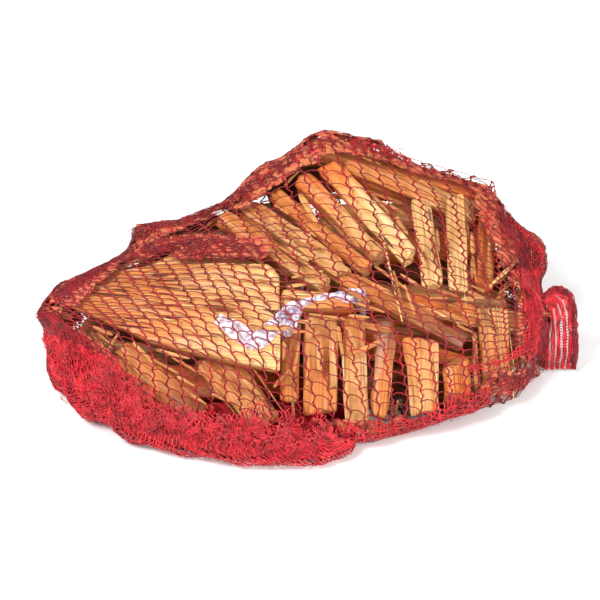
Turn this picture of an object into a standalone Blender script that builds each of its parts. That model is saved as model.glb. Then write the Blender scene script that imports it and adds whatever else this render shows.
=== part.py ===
# A red net bag filled with split kindling, lying on its side.
# Lengths in this file are in millimetres and are scaled to metres when the meshes are made.
# X runs along the bag to the right, Y away from the front, Z up from the floor.
import itertools
import math
import random

import bmesh
import bpy
import numpy as np
from mathutils import Matrix, Vector
from mathutils.bvhtree import BVHTree

MM = 0.001
WOOD_GAP = 0.45
NET_THICKNESS = 1.3
NET_CLEARANCE = 0.9
WOOD_FLOOR = 2.3
SLIVER = 0.01
SAMPLE_STEP = 1.0
FLOOR_BAND = 12.0
FLOOR_MARGIN = 2.0
SMALLEST_VOLUME = 26000.0
SMALLEST_LENGTH = 85.0

# The heap is modelled round this point, which every ray of the net leaves from.
HEART = np.array((0.0, 22.0, 58.0))
# Half lengths of the box whose grid spreads those rays evenly, and its cells along X, Y and Z.
SPREAD = np.array((255.0, 165.0, 92.0))
CELLS = (26, 17, 10)

# Each stick: centre line of its outer face from one end to the other, the way that face looks,
# its width, its depth under the face, and the share of the width left at its heel.
STICKS = {
    "bright_stick": ((20, 122, 172), (97, 11, 137), (0, -0.25, 1), 27, 24, 0.5),
    "ridge_stick": ((6, 155, 173), (186, 137, 128), (0, -0.1, 1), 30, 34, 0.6),
    "second_ridge_stick": ((40, 131, 168), (169, 101, 126), (0, -0.45, 1), 30, 30, 0.6),
    "upper_stick_4": ((-4, 124, 156), (74, 22, 132), (0, -0.2, 1), 24, 28, 0.6),
    "upper_stick_3": ((-30, 117, 145), (62, 11, 126), (0.1, -0.3, 1), 26, 26, 0.4),
    "upper_stick_2": ((-55, 104, 136), (40, 7, 120), (0.1, -0.2, 1), 27, 28, 0.6),
    "upper_stick_1": ((-82, 94, 129), (18, -4, 116), (0, -0.2, 1), 27, 26, 0.4),
    "pale_stick_1": ((112, 118, 148), (119, -4, 112), (0, -0.5, 1), 25, 24, 0.5),
    "pale_stick_2": ((145, 110, 140), (141, -3, 104), (0, -0.5, 1), 27, 26, 0.5),
    "amber_stick": ((180, 124, 128), (167, 16, 96), (0.3, -0.5, 1), 30, 28, 0.5),
    "gap_stick": ((34, 8, 124), (150, -47, 86), (0, -0.4, 1), 34, 30, 0.5),
    "yellow_block": ((-26, -13, 115), (45, -14, 110), (0, -0.45, 1), 40, 26, 0.7),
    "low_right_stick": ((98, -14, 101), (212, 5, 64), (0.2, -0.6, 1), 36, 30, 0.6),
    "back_left_stick": ((-170, 91, 117), (-12, 84, 129), (0, -0.35, 1), 40, 40, 0.8),
    "left_back_stick": ((-184, 64, 82), (-52, 106, 98), (0, -0.3, 1), 36, 34, 0.8),
    "bark_billet": ((-44, 134, 141), (60, 146, 163), (0, -0.5, 1), 34, 40, 0.8),
    "front_stick_1": ((16, -16, 103), (14, -94, 30), (0, -0.9, 1), 36, 28, 0.5),
    "front_stick_2": ((43, -26, 99), (48, -108, 22), (0, -0.9, 1), 26, 28, 0.5),
    "front_stick_3": ((73, -40, 96), (66, -97, 28), (0, -0.9, 1), 26, 22, 0.4),
    "front_stick_4": ((104, -52, 86), (108, -90, 26), (0, -0.9, 1), 38, 26, 0.5),
    "front_stick_5": ((136, -56, 80), (143, -76, 24), (0.2, -0.9, 1), 34, 26, 0.5),
    "front_stick_6": ((176, -2, 84), (178, -54, 28), (0.4, -0.9, 1), 36, 26, 0.5),
    "low_tip_stick": ((96, -61, 27), (203, -26, 24), (0.1, -0.6, 1), 34, 22, 0.7),
    "front_stick_7": ((-11, -22, 101), (-13, -84, 34), (0, -0.9, 1), 25, 26, 0.5),
    "under_board_stick_1": ((-88, -46, 66), (-34, -94, 14), (0, -0.9, 1), 44, 34, 0.6),
    "under_board_stick_2": ((-46, -70, 66), (-6, -98, 14), (0, -0.9, 1), 36, 30, 0.6),
    "under_board_stick_3": ((-176, -36, 62), (-98, -88, 16), (0, -0.9, 1), 40, 32, 0.6),
    "left_low_stick": ((-230, 4, 56), (-150, -60, 22), (-0.3, -0.8, 1), 38, 32, 0.6),
}

# Corners of the upper face of the wide board, from its point round to the front, and its thickness.
BOARD_FACE = (
    (-243, 16, 82), (-202, 47, 93), (-109, 36, 110), (-38, 19, 123),
    (-22, 6, 120), (-22, -87, 74), (-142, -47, 75), (-230, 9, 79),
)
BOARD_CROWN = ((-120, 0, 98), (-60, -30, 103))
BOARD_DEPTH = 24

# Splinters on top of the heap: ends, width and thickness.
SPLINTERS = {
    "long_splinter": ((69, 52, 146), (88, -56, 104), 4.0, 2.2),
    "short_splinter": ((204, 52, 101), (170, 4, 101), 6.0, 2.4),
}

# The plastic strip: middle line seen from above, width, thickness and its clearance from the wood.
STRIP_LINE = ((-78, -42), (-60, -52), (-40, -58), (-20, -50), (0, -41), (26, -30), (50, -27))
STRIP_WIDTH = 13
STRIP_THICKNESS = 0.6
STRIP_CLEARANCE = 0.5
STRIP_CELLS = (24, 3)
STRIP_DIP = 0.3

# Hidden layers: height of the middle, first row, number of rows, turn of the rows in degrees.
LAYERS = (
    (19, -72, 6, 4),
    (55, -44, 5, -7),
    (91, 2, 4, 6),
    (124, 66, 2, -5),
)
ROW_STEP = 46
ROW_LENGTH = 222
INNER_WIDTH = 42
INNER_DEPTH = 33

# The hidden sticks stay on the inner side of these planes: outward normal and offset.
HEAP_SIDES = (
    ((0, -0.36, 1), 90),
    ((0, -1.03, 1), 84),
    ((1, 0, 0.45), 226),
    ((-1, 0, 0), 226),
    ((0, 1, 0.35), 214),
    ((-0.78, 0.62, 0), 198),
    ((0.75, 0.66, 0), 222),
    ((-0.53, -0.85, 0), 112),
    ((0, -1, 0), 100),
    ((-0.3, 0.5, 1), 196),
    ((-0.6, 0.3, 1), 203),
    ((0.5, -0.85, 0), 117),
)

# Round guides that push the net out where it is slack or bunched: centre and radii.
WAD = (
    ((-228, 22, 34), (28, 26, 34)),
    ((-220, -16, 24), (30, 30, 30)),
    ((-193, -52, 24), (32, 32, 30)),
    ((-150, -86, 24), (34, 32, 28)),
    ((-102, -108, 23), (34, 30, 27)),
    ((-52, -121, 21), (36, 31, 25)),
    ((-4, -123, 19), (32, 30, 23)),
    ((24, -120, 17), (22, 26, 20)),
)
SLACK = (
    ((214, 100, 70), (31, 28, 34)),
    ((196, 78, 44), (30, 40, 40)),
    ((60, 168, 160), (28, 12, 14)),
)

# The mouth of the bag: the cells of the right hand side that are open, and the flap it ends in.
MOUTH_ROWS = (6, 11)
MOUTH_LEVELS = (2, 7)
FLAP_FOOT = (246, 6, 4)
FLAP_LEAN = 0.42
FLAP_HEIGHT = 80
FLAP_REACH = 262
FLAP_THICKNESS = 6.0
HEM_THICKNESS = 9.0

COLOURS = {
    "wood": (0.72, 0.42, 0.2, 1),
    "net": (0.6, 0.03, 0.05, 1),
    "plastic": (0.75, 0.7, 0.8, 1),
}


def clear_scene():
    for thing in list(bpy.data.objects):
        bpy.data.objects.remove(thing, do_unlink=True)


def material_for(name, colour, roughness):
    material = bpy.data.materials.new(name + "_material")
    material.use_nodes = True
    shader = material.node_tree.nodes["Principled BSDF"]
    shader.inputs["Base Color"].default_value = colour
    shader.inputs["Roughness"].default_value = roughness
    return material


def add_node(name, mesh, colour, roughness):
    node = bpy.data.objects.new(name, mesh)
    mesh.materials.append(material_for(name, colour, roughness))
    bpy.context.scene.collection.objects.link(node)
    return node


def unit(vector):
    vector = np.asarray(vector, float)
    return vector / np.linalg.norm(vector)


def hull_planes(points):
    """Planes (outward normal, offset) of the convex hull of some points, each face once."""
    shape = bmesh.new()
    for point in points:
        shape.verts.new(point)
    bmesh.ops.convex_hull(shape, input=shape.verts)
    shape.normal_update()
    middle = np.mean(points, axis=0)
    planes = []
    for face in shape.faces:
        if face.calc_area() < 1e-3:
            continue
        normal = np.array(face.normal)
        offset = float(normal @ np.array(face.verts[0].co))
        if normal @ middle > offset:
            normal, offset = -normal, -offset
        if all(normal @ other[:3] < 0.99995 or abs(offset - other[3]) > 0.05 for other in planes):
            planes.append(np.append(normal, offset))
    shape.free()
    return np.array(planes)


def plane_corners(planes):
    """Corners of the convex solid inside some planes."""
    trios = np.array(list(itertools.combinations(range(len(planes)), 3)))
    sides = planes[trios][:, :, :3]
    offsets = planes[trios][:, :, 3]
    size = np.abs(np.linalg.det(sides))
    good = size > 1e-5
    points = np.linalg.solve(sides[good], offsets[good][:, :, None])[:, :, 0]
    inside = (points @ planes[:, :3].T - planes[:, 3]).max(axis=1) < 1e-4
    points = points[inside]
    if not len(points):
        return points
    kept = []
    for point in points:
        if all(np.abs(point - other).max() > SLIVER * 2 for other in kept):
            kept.append(point)
    return np.array(kept)


class Solid:
    """A convex piece of wood, kept as its planes and corners."""

    def __init__(self, planes):
        self.planes = planes
        self.tidy()

    def tidy(self):
        self.corners = plane_corners(self.planes)
        if len(self.corners) < 4:
            return
        near = np.abs(self.corners @ self.planes[:, :3].T - self.planes[:, 3]) < 0.05
        used = near.sum(axis=0) >= 3
        self.planes = self.planes[used]
        near = near[:, used]
        edges = []
        for first, second in itertools.combinations(range(len(self.planes)), 2):
            shared = self.corners[near[:, first] & near[:, second]]
            if len(shared) >= 2:
                span = shared[-1] - shared[0]
                if np.linalg.norm(span) > 0.2:
                    edges.append((shared[0], shared[-1]))
        self.edges = np.array(edges)

    def cut(self, normal, offset):
        """Keeps what lies on the inner side of the plane."""
        size = np.linalg.norm(normal)
        plane = np.append(np.asarray(normal, float) / size, offset / size)
        if (self.corners @ plane[:3]).max() <= plane[3]:
            return
        self.planes = np.vstack((self.planes, plane))
        self.tidy()

    def empty(self):
        return len(self.corners) < 4

    def directions(self):
        spans = self.edges[:, 1] - self.edges[:, 0]
        return spans / np.linalg.norm(spans, axis=1)[:, None]

    def length(self, along):
        reach = self.corners @ along
        return reach.max() - reach.min()

    def mesh(self, name):
        shape = bmesh.new()
        for corner in self.corners:
            shape.verts.new(Vector(corner) * MM)
        made = bmesh.ops.convex_hull(shape, input=shape.verts)
        spare = {item for item in made["geom_interior"] if isinstance(item, bmesh.types.BMVert)}
        bmesh.ops.delete(shape, geom=list(spare), context="VERTS")
        bmesh.ops.recalc_face_normals(shape, faces=shape.faces)
        mesh = bpy.data.meshes.new(name)
        shape.to_mesh(mesh)
        shape.free()
        return mesh

    def volume(self):
        shape = bmesh.new()
        for corner in self.corners:
            shape.verts.new(corner)
        bmesh.ops.convex_hull(shape, input=shape.verts)
        size = abs(shape.calc_volume(signed=True))
        shape.free()
        return size


def keep_apart(first, second):
    """Cuts the second solid back from the first by the plane that takes the least off it."""
    low = first.corners.min(axis=0) - WOOD_GAP
    high = first.corners.max(axis=0) + WOOD_GAP
    if (second.corners.min(axis=0) > high).any() or (second.corners.max(axis=0) < low).any():
        return
    crosses = np.cross(first.directions()[:, None, :], second.directions()[None, :, :])
    crosses = crosses.reshape(-1, 3)
    sizes = np.linalg.norm(crosses, axis=1)
    crosses = crosses[sizes > 1e-3] / sizes[sizes > 1e-3][:, None]
    axes = np.vstack((first.planes[:, :3], -second.planes[:, :3], crosses, -crosses))
    reach = (first.corners @ axes.T).max(axis=0) + WOOD_GAP
    depth = reach - (second.corners @ axes.T).min(axis=0)
    best = int(depth.argmin())
    if depth[best] > 0:
        second.cut(-axes[best], -reach[best])


def billet(start, end, facing, width, depth, heel, chance):
    """A split stick: a crowned outer face, sides that draw in to the heel, and skewed ends."""
    start, end = np.array(start, float), np.array(end, float)
    along = unit(end - start)
    up = unit(np.array(facing, float) - (np.array(facing, float) @ along) * along)
    side = np.cross(along, up)
    waist = [chance.uniform(0.8, 1.02), chance.uniform(0.72, 1.0)]
    section = (
        (-0.5, chance.uniform(-0.1, 0)),
        (chance.uniform(-0.2, 0.2), chance.uniform(0.0, 0.08)),
        (0.5, chance.uniform(-0.12, 0)),
        (0.5 * waist[0], chance.uniform(-0.6, -0.4)),
        (0.5 * heel, -1.0),
        (-0.5 * heel, chance.uniform(-1.0, -0.85)),
        (-0.5 * waist[1], chance.uniform(-0.65, -0.4)),
    )
    points = []
    for place, way, size in ((start, -1, 1.0), (end, 1, chance.uniform(0.88, 1.0))):
        lean = (chance.uniform(-0.22, 0.22), chance.uniform(-0.2, 0.2))
        for across, down in section:
            point = place + side * across * width * size + up * down * depth * size
            point = point + along * way * (lean[0] * across * width + lean[1] * down * depth)
            points.append(point)
    return Solid(hull_planes(np.array(points)))


def wide_board():
    """The broad split board: its slightly crowned face, and a narrower back under it."""
    face = np.array(BOARD_FACE, float)
    middle = face.mean(axis=0)
    normal = unit(np.cross(face[5] - face[0], face[3] - face[0]))
    if normal[2] < 0:
        normal = -normal
    under = middle + (face - middle) * 0.9 - normal * BOARD_DEPTH
    points = np.vstack((face, np.array(BOARD_CROWN, float), under))
    return Solid(hull_planes(points))


def splinter(start, end, width, thickness):
    start, end = np.array(start, float), np.array(end, float)
    along = unit(end - start)
    up = unit(np.array((0, -0.3, 1)) - np.array((0, -0.3, 1)) @ along * along)
    side = np.cross(along, up)
    points = []
    for place, size in ((start, 0.5), (start * 0.6 + end * 0.4, 1.0), (end, 0.35)):
        for across, down in ((-0.5, 0), (0.5, 0), (0.3, -1), (-0.3, -1)):
            points.append(place + side * across * width * size + up * down * thickness * size)
    return Solid(hull_planes(np.array(points)))


def inner_sticks(chance):
    """Rows of sticks in the hidden layers, turned and moved a little."""
    found = []
    for layer, (height, first_row, rows, turn) in enumerate(LAYERS):
        for row in range(rows):
            for column in (-1, 1):
                angle = math.radians(turn + chance.uniform(-5, 5))
                reach = ROW_LENGTH * chance.uniform(0.9, 1.02)
                along = np.array((math.cos(angle), math.sin(angle), chance.uniform(-0.03, 0.03)))
                middle = np.array((
                    column * (ROW_LENGTH * 0.5 + 3) + chance.uniform(-9, 9) + (layer % 2) * 14,
                    first_row + row * ROW_STEP + chance.uniform(-4, 4),
                    height + INNER_DEPTH * 0.5,
                ))
                facing = (chance.uniform(-0.15, 0.15), chance.uniform(-0.2, 0.2), 1)
                found.append(billet(
                    middle - along * reach * 0.5, middle + along * reach * 0.5, facing,
                    INNER_WIDTH * chance.uniform(0.92, 1.08), INNER_DEPTH * chance.uniform(0.95, 1.1),
                    chance.uniform(0.55, 0.85), chance,
                ))
    return found


def build_wood():
    """All the sticks in order of rank: each is cut back from those before it."""
    chance = random.Random(41)
    wood = {}
    for name, (start, end, width, thickness) in SPLINTERS.items():
        wood[name] = splinter(start, end, width, thickness)
    ranked = [("wide_board", wide_board())]
    ranked += [(name, billet(*shape, chance)) for name, shape in STICKS.items()]
    hidden = inner_sticks(chance)
    for name, solid in ranked + [("", solid) for solid in hidden]:
        solid.cut((0, 0, -1), -WOOD_FLOOR)
        if not name:
            for normal, offset in HEAP_SIDES:
                if not solid.empty():
                    solid.cut(normal, offset)
        for other in wood.values():
            if not solid.empty():
                keep_apart(other, solid)
        if solid.empty():
            continue
        if not name:
            spread = solid.corners.max(axis=0) - solid.corners.min(axis=0)
            if solid.volume() < SMALLEST_VOLUME or spread.max() < SMALLEST_LENGTH:
                continue
            name = "inner_stick_%02d" % (sum(key.startswith("inner") for key in wood) + 1)
        wood[name] = solid
    return wood


def box_grid(cells):
    """Corners and squares of the surface of a box cut into cells, corners as whole numbers."""
    index = {}
    squares = []
    spots = []

    def corner(spot):
        if spot not in index:
            index[spot] = len(spots)
            spots.append(spot)
        return index[spot]

    for axis in range(3):
        first, second = [other for other in range(3) if other != axis]
        for far in (0, 1):
            for i in range(cells[first]):
                for j in range(cells[second]):
                    ring = []
                    for di, dj in ((0, 0), (1, 0), (1, 1), (0, 1)):
                        spot = [0, 0, 0]
                        spot[axis] = cells[axis] * far
                        spot[first] = i + di
                        spot[second] = j + dj
                        ring.append(corner(tuple(spot)))
                    outward = (axis != 1) == bool(far)
                    squares.append(ring if outward else ring[::-1])
    return np.array(spots), np.array(squares)


def footprint(points):
    """Outline on the floor of what stands near it: distance from the heart for a set of headings."""
    low = points[points[:, 2] < FLOOR_BAND][:, :2] - HEART[:2]
    headings = np.linspace(-math.pi, math.pi, 361)
    sides = np.stack((np.cos(headings), np.sin(headings)), axis=1)
    support = (low @ sides.T).max(axis=0) + FLOOR_MARGIN
    # Each heading reaches out to the nearest of the lines that hold the footprint in.
    facing = sides @ sides.T
    room = np.where(facing > 0.02, support[None, :] / np.maximum(facing, 0.02), np.inf)
    return headings, room.min(axis=1)


def ray_directions(spots, cells, outline):
    """Rays through the corners of the grid: its foot follows the footprint, its top the box."""
    share = spots / np.array(cells) * 2 - 1
    # Rays a little closer together at the middle of each side than at its rims.
    eased = np.sin(share * math.pi / 4) / math.sin(math.pi / 4)
    high = eased * SPREAD + HEART
    heading = np.arctan2(eased[:, 1] * SPREAD[1], eased[:, 0] * SPREAD[0])
    size = np.interp(heading, *outline) * np.abs(eased[:, :2]).max(axis=1)
    low = np.stack((np.cos(heading) * size, np.sin(heading) * size, np.zeros(len(size))), axis=1)
    low += (HEART[0], HEART[1], NET_THICKNESS)
    level = ((share[:, 2] + 1) * 0.5)[:, None] ** 1.15
    points = low * (1 - level) + high * level - HEART
    return points / np.linalg.norm(points, axis=1)[:, None]


def wood_samples(wood, step):
    """Points along the edges and over the faces of the wood, close enough to stand for it."""
    found = []
    for solid in wood.values():
        shape = bmesh.new()
        for corner in solid.corners:
            shape.verts.new(corner)
        bmesh.ops.convex_hull(shape, input=shape.verts)
        for edge in shape.edges:
            start, end = (np.array(vert.co) for vert in edge.verts)
            count = max(2, int(np.linalg.norm(end - start) / step))
            share = np.linspace(0, 1, count)[:, None]
            found.append(start + (end - start) * share)
        shape.free()
    return np.vstack(found)


def ellipsoid_reach(directions, centre, radii):
    """Distance from the heart to the far side of an ellipsoid along each ray, 0 where it misses."""
    offset = (HEART - np.array(centre, float)) / np.array(radii, float)
    slopes = directions / np.array(radii, float)
    a = (slopes ** 2).sum(axis=1)
    b = (slopes @ offset) * 2
    c = offset @ offset - 1
    inner = b * b - 4 * a * c
    reach = np.zeros(len(directions))
    hit = inner > 0
    reach[hit] = (-b[hit] + np.sqrt(inner[hit])) / (2 * a[hit])
    return np.maximum(reach, 0)


def wood_reach(directions, wood, clearance):
    """Distance from the heart to the outermost wood along each ray."""
    reach = np.zeros(len(directions))
    for solid in wood.values():
        slope = directions @ solid.planes[:, :3].T
        room = solid.planes[:, 3] + clearance - HEART @ solid.planes[:, :3].T
        with np.errstate(divide="ignore", invalid="ignore"):
            distance = room / slope
        leave = np.where(slope > 1e-9, distance, np.inf).min(axis=1)
        enter = np.where(slope < -1e-9, distance, -np.inf).max(axis=1)
        blocked = ((np.abs(slope) <= 1e-9) & (room < 0)).any(axis=1)
        hit = (enter < leave) & (leave > 0) & ~blocked
        reach = np.where(hit, np.maximum(reach, leave), reach)
    return reach


class Skin:
    """A closed sheet round the heart: one distance along each ray of the box grid."""

    def __init__(self, outline):
        self.spots, self.squares = box_grid(CELLS)
        self.rays = ray_directions(self.spots, CELLS, outline)
        self.triangles = np.vstack((self.squares[:, [0, 1, 2]], self.squares[:, [0, 2, 3]]))
        pairs = np.vstack([self.squares[:, [k, (k + 1) % 4]] for k in range(4)])
        pairs = np.unique(np.sort(pairs, axis=1), axis=0)
        self.pairs = np.vstack((pairs, pairs[:, ::-1]))

    def locate(self, points):
        """For each point, the triangle that its ray passes and the weights of its corners."""
        tree = BVHTree.FromPolygons(self.rays.tolist(), self.triangles.tolist())
        origin = Vector((0, 0, 0))
        found = []
        for index, point in enumerate(points - HEART):
            hit = tree.ray_cast(origin, Vector(point))
            if hit[2] is not None:
                found.append((index, hit[2]))
        found = np.array(found)
        corners = self.triangles[found[:, 1]]
        frames = np.transpose(self.rays[corners], (0, 2, 1))
        offset = points[found[:, 0]] - HEART
        distance = np.linalg.norm(offset, axis=1)
        weights = np.linalg.solve(frames, (offset / distance[:, None])[:, :, None])[:, :, 0]
        return corners, np.maximum(weights, 0), distance + NET_CLEARANCE

    def average(self, reach):
        """Distance along each ray of the middle of its neighbours, near ones counting most."""
        places = self.rays * reach[:, None]
        spans = places[self.pairs[:, 1]] - places[self.pairs[:, 0]]
        share = 1 / np.maximum(np.linalg.norm(spans, axis=1), 1.0)
        total = np.zeros_like(places)
        np.add.at(total, self.pairs[:, 0], places[self.pairs[:, 1]] * share[:, None])
        weight = np.bincount(self.pairs[:, 0], weights=share, minlength=len(places))
        return (total / weight[:, None] * self.rays).sum(axis=1)

    def push_out(self, reach, samples, ceiling, rounds):
        """Moves corners out until every sample is inside the sheet."""
        corners, weights, needed = samples
        for _ in range(rounds):
            flat = 1 / np.maximum(reach, 1)
            short = (weights * flat[corners]).sum(axis=1) * needed
            bad = short > 1.00001
            if not bad.any():
                break
            scale = short[bad]
            wanted = reach[corners[bad]] * scale[:, None]
            touched = np.where(weights[bad] > 0.04, wanted, 0)
            np.maximum.at(reach, corners[bad].ravel(), touched.ravel())
            reach = np.minimum(reach, ceiling)
        return reach

    def taut(self, base, samples, ceiling, rounds, pull):
        """Pulls the sheet tight over the base distances and the samples, above the floor."""
        base = np.minimum(base, ceiling)
        corners, weights, needed = samples
        reach = base.copy()
        # Every corner starts outside the samples next to it, and is then pulled in.
        np.maximum.at(reach, corners.ravel(), np.repeat(needed, 3))
        for _ in range(20):
            near = reach.copy()
            np.maximum.at(near, self.pairs[:, 0], reach[self.pairs[:, 1]])
            reach = np.where(reach < 20, near, reach)
        reach = np.minimum(reach, ceiling)
        for _ in range(rounds):
            reach = reach + (self.average(reach) - reach) * pull
            reach = np.minimum(np.maximum(reach, base), ceiling)
            reach = self.push_out(reach, samples, ceiling, 2)
        return self.push_out(reach, samples, ceiling, 400)

    def normals(self, reach):
        places = self.rays * reach[:, None]
        corner = places[self.triangles]
        across = np.cross(corner[:, 1] - corner[:, 0], corner[:, 2] - corner[:, 0])
        total = np.zeros_like(places)
        for k in range(3):
            np.add.at(total, self.triangles[:, k], across)
        return total / np.linalg.norm(total, axis=1)[:, None]


def floor_reach(rays, height):
    """Distance along each ray down to a level above the floor."""
    falling = rays[:, 2] < -1e-6
    reach = np.full(len(rays), np.inf)
    reach[falling] = (HEART[2] - height) / -rays[falling, 2]
    return reach


def ordered_rim(squares, gone):
    """The corners round the opening, in order, starting from any of them."""
    links = {}
    seen = {}
    for index in gone:
        ring = squares[index]
        for k in range(4):
            edge = (int(ring[k]), int(ring[(k + 1) % 4]))
            seen[edge] = True
    for start, end in seen:
        if (end, start) not in seen:
            links[start] = end
    rim = [min(links)]
    while links[rim[-1]] != rim[0]:
        rim.append(links[rim[-1]])
    return rim


def flap_ring(spots, rim, share, thickness):
    """One ring of the flattened mouth: share 0 at the bag, 1 at the hem."""
    rows, levels = MOUTH_ROWS, MOUTH_LEVELS
    up = unit((0, FLAP_LEAN, 1))
    through = unit((0, -1, FLAP_LEAN))
    foot = np.array(FLAP_FOOT, float)
    places = []
    for corner in rim:
        _, row, level = spots[corner]
        a = (row - rows[0]) / (rows[1] - rows[0])
        b = (level - levels[0]) / (levels[1] - levels[0])
        # The hem curves over at the top, so its upper end lies nearer to the bag.
        curl = 1 - (1 - math.sqrt(max(0.0, 1 - max(0.0, b * 1.6 - 0.6) ** 2))) * 0.75
        reach = foot[0] - 14 + (FLAP_REACH - foot[0] + 14) * share * curl
        height = b * FLAP_HEIGHT * (0.86 + 0.14 * share)
        place = np.array((reach, foot[1], foot[2])) + up * height
        place = place + through * (0.5 - a) * thickness
        places.append(place)
    return np.array(places)


def wood_tree(wood):
    """The faces of all the wood, for finding its height under a spot."""
    corners = []
    faces = []
    for solid in wood.values():
        shape = bmesh.new()
        for corner in solid.corners:
            shape.verts.new(corner)
        bmesh.ops.convex_hull(shape, input=shape.verts)
        shape.verts.index_update()
        first = len(corners)
        corners += [tuple(vert.co) for vert in shape.verts]
        faces += [[first + vert.index for vert in face.verts] for face in shape.faces]
        shape.free()
    return BVHTree.FromPolygons(corners, faces)


def strip_points(wood):
    """The under side of the strip, a grid laid over the highest wood near each of its points."""
    tree = wood_tree(wood)
    line = np.array(STRIP_LINE, float)
    steps = np.linspace(0, len(line) - 1, STRIP_CELLS[0] + 1)
    middle = np.stack([np.interp(steps, range(len(line)), line[:, k]) for k in range(2)], axis=1)
    heading = np.gradient(middle, axis=0)
    heading /= np.linalg.norm(heading, axis=1)[:, None]
    across = np.stack((-heading[:, 1], heading[:, 0]), axis=1)
    rows = []
    for spot, side in zip(middle, across):
        row = []
        for share in np.linspace(-0.5, 0.5, STRIP_CELLS[1] + 1):
            place = spot + side * share * STRIP_WIDTH
            height = -1.0
            for dx, dy in itertools.product((-6, -3, 0, 3, 6), repeat=2):
                hit = tree.ray_cast(Vector((place[0] + dx, place[1] + dy, 400)), Vector((0, 0, -1)))
                if hit[0] is not None:
                    height = max(height, hit[0][2])
            row.append((place[0], place[1], height + STRIP_CLEARANCE))
        rows.append(row)
    under = np.array(rows)
    # The strip bridges the gaps between sticks instead of dipping into them.
    places = under.reshape(-1, 3)
    spans = np.linalg.norm(places[:, None, :2] - places[None, :, :2], axis=2)
    under[:, :, 2] = (places[None, :, 2] - spans * STRIP_DIP).max(axis=1).reshape(under.shape[:2])
    return under


def strip_mesh(under):
    over = under + (0, 0, STRIP_THICKNESS)
    shape = bmesh.new()
    sheets = [[[shape.verts.new(Vector(spot) * MM) for spot in row] for row in side] for side in (under, over)]
    long, wide = STRIP_CELLS
    for i in range(long):
        for j in range(wide):
            for sheet in sheets:
                shape.faces.new((sheet[i][j], sheet[i + 1][j], sheet[i + 1][j + 1], sheet[i][j + 1]))
    rim = [(i, 0) for i in range(long)] + [(long, j) for j in range(wide)]
    rim += [(i, wide) for i in range(long, 0, -1)] + [(0, j) for j in range(wide, 0, -1)]
    for (i, j), (k, m) in zip(rim, rim[1:] + rim[:1]):
        shape.faces.new((sheets[0][i][j], sheets[0][k][m], sheets[1][k][m], sheets[1][i][j]))
    bmesh.ops.recalc_face_normals(shape, faces=shape.faces)
    bmesh.ops.triangulate(shape, faces=shape.faces)
    mesh = bpy.data.meshes.new("plastic_strip")
    shape.to_mesh(mesh)
    shape.free()
    return mesh


def strip_samples(under):
    """Points over the upper side of the strip that the net has to clear."""
    over = under + (0, 0, STRIP_THICKNESS)
    fine = [over.reshape(-1, 3)]
    for share in (0.25, 0.5, 0.75):
        fine.append((over[1:] * share + over[:-1] * (1 - share)).reshape(-1, 3))
        fine.append((over[:, 1:] * share + over[:, :-1] * (1 - share)).reshape(-1, 3))
    diagonal = [over[1:, 1:] * share + over[:-1, :-1] * (1 - share) for share in (0.25, 0.5, 0.75)]
    counter = [over[1:, :-1] * share + over[:-1, 1:] * (1 - share) for share in (0.25, 0.5, 0.75)]
    fine += [points.reshape(-1, 3) for points in diagonal + counter]
    return np.vstack(fine)


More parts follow.
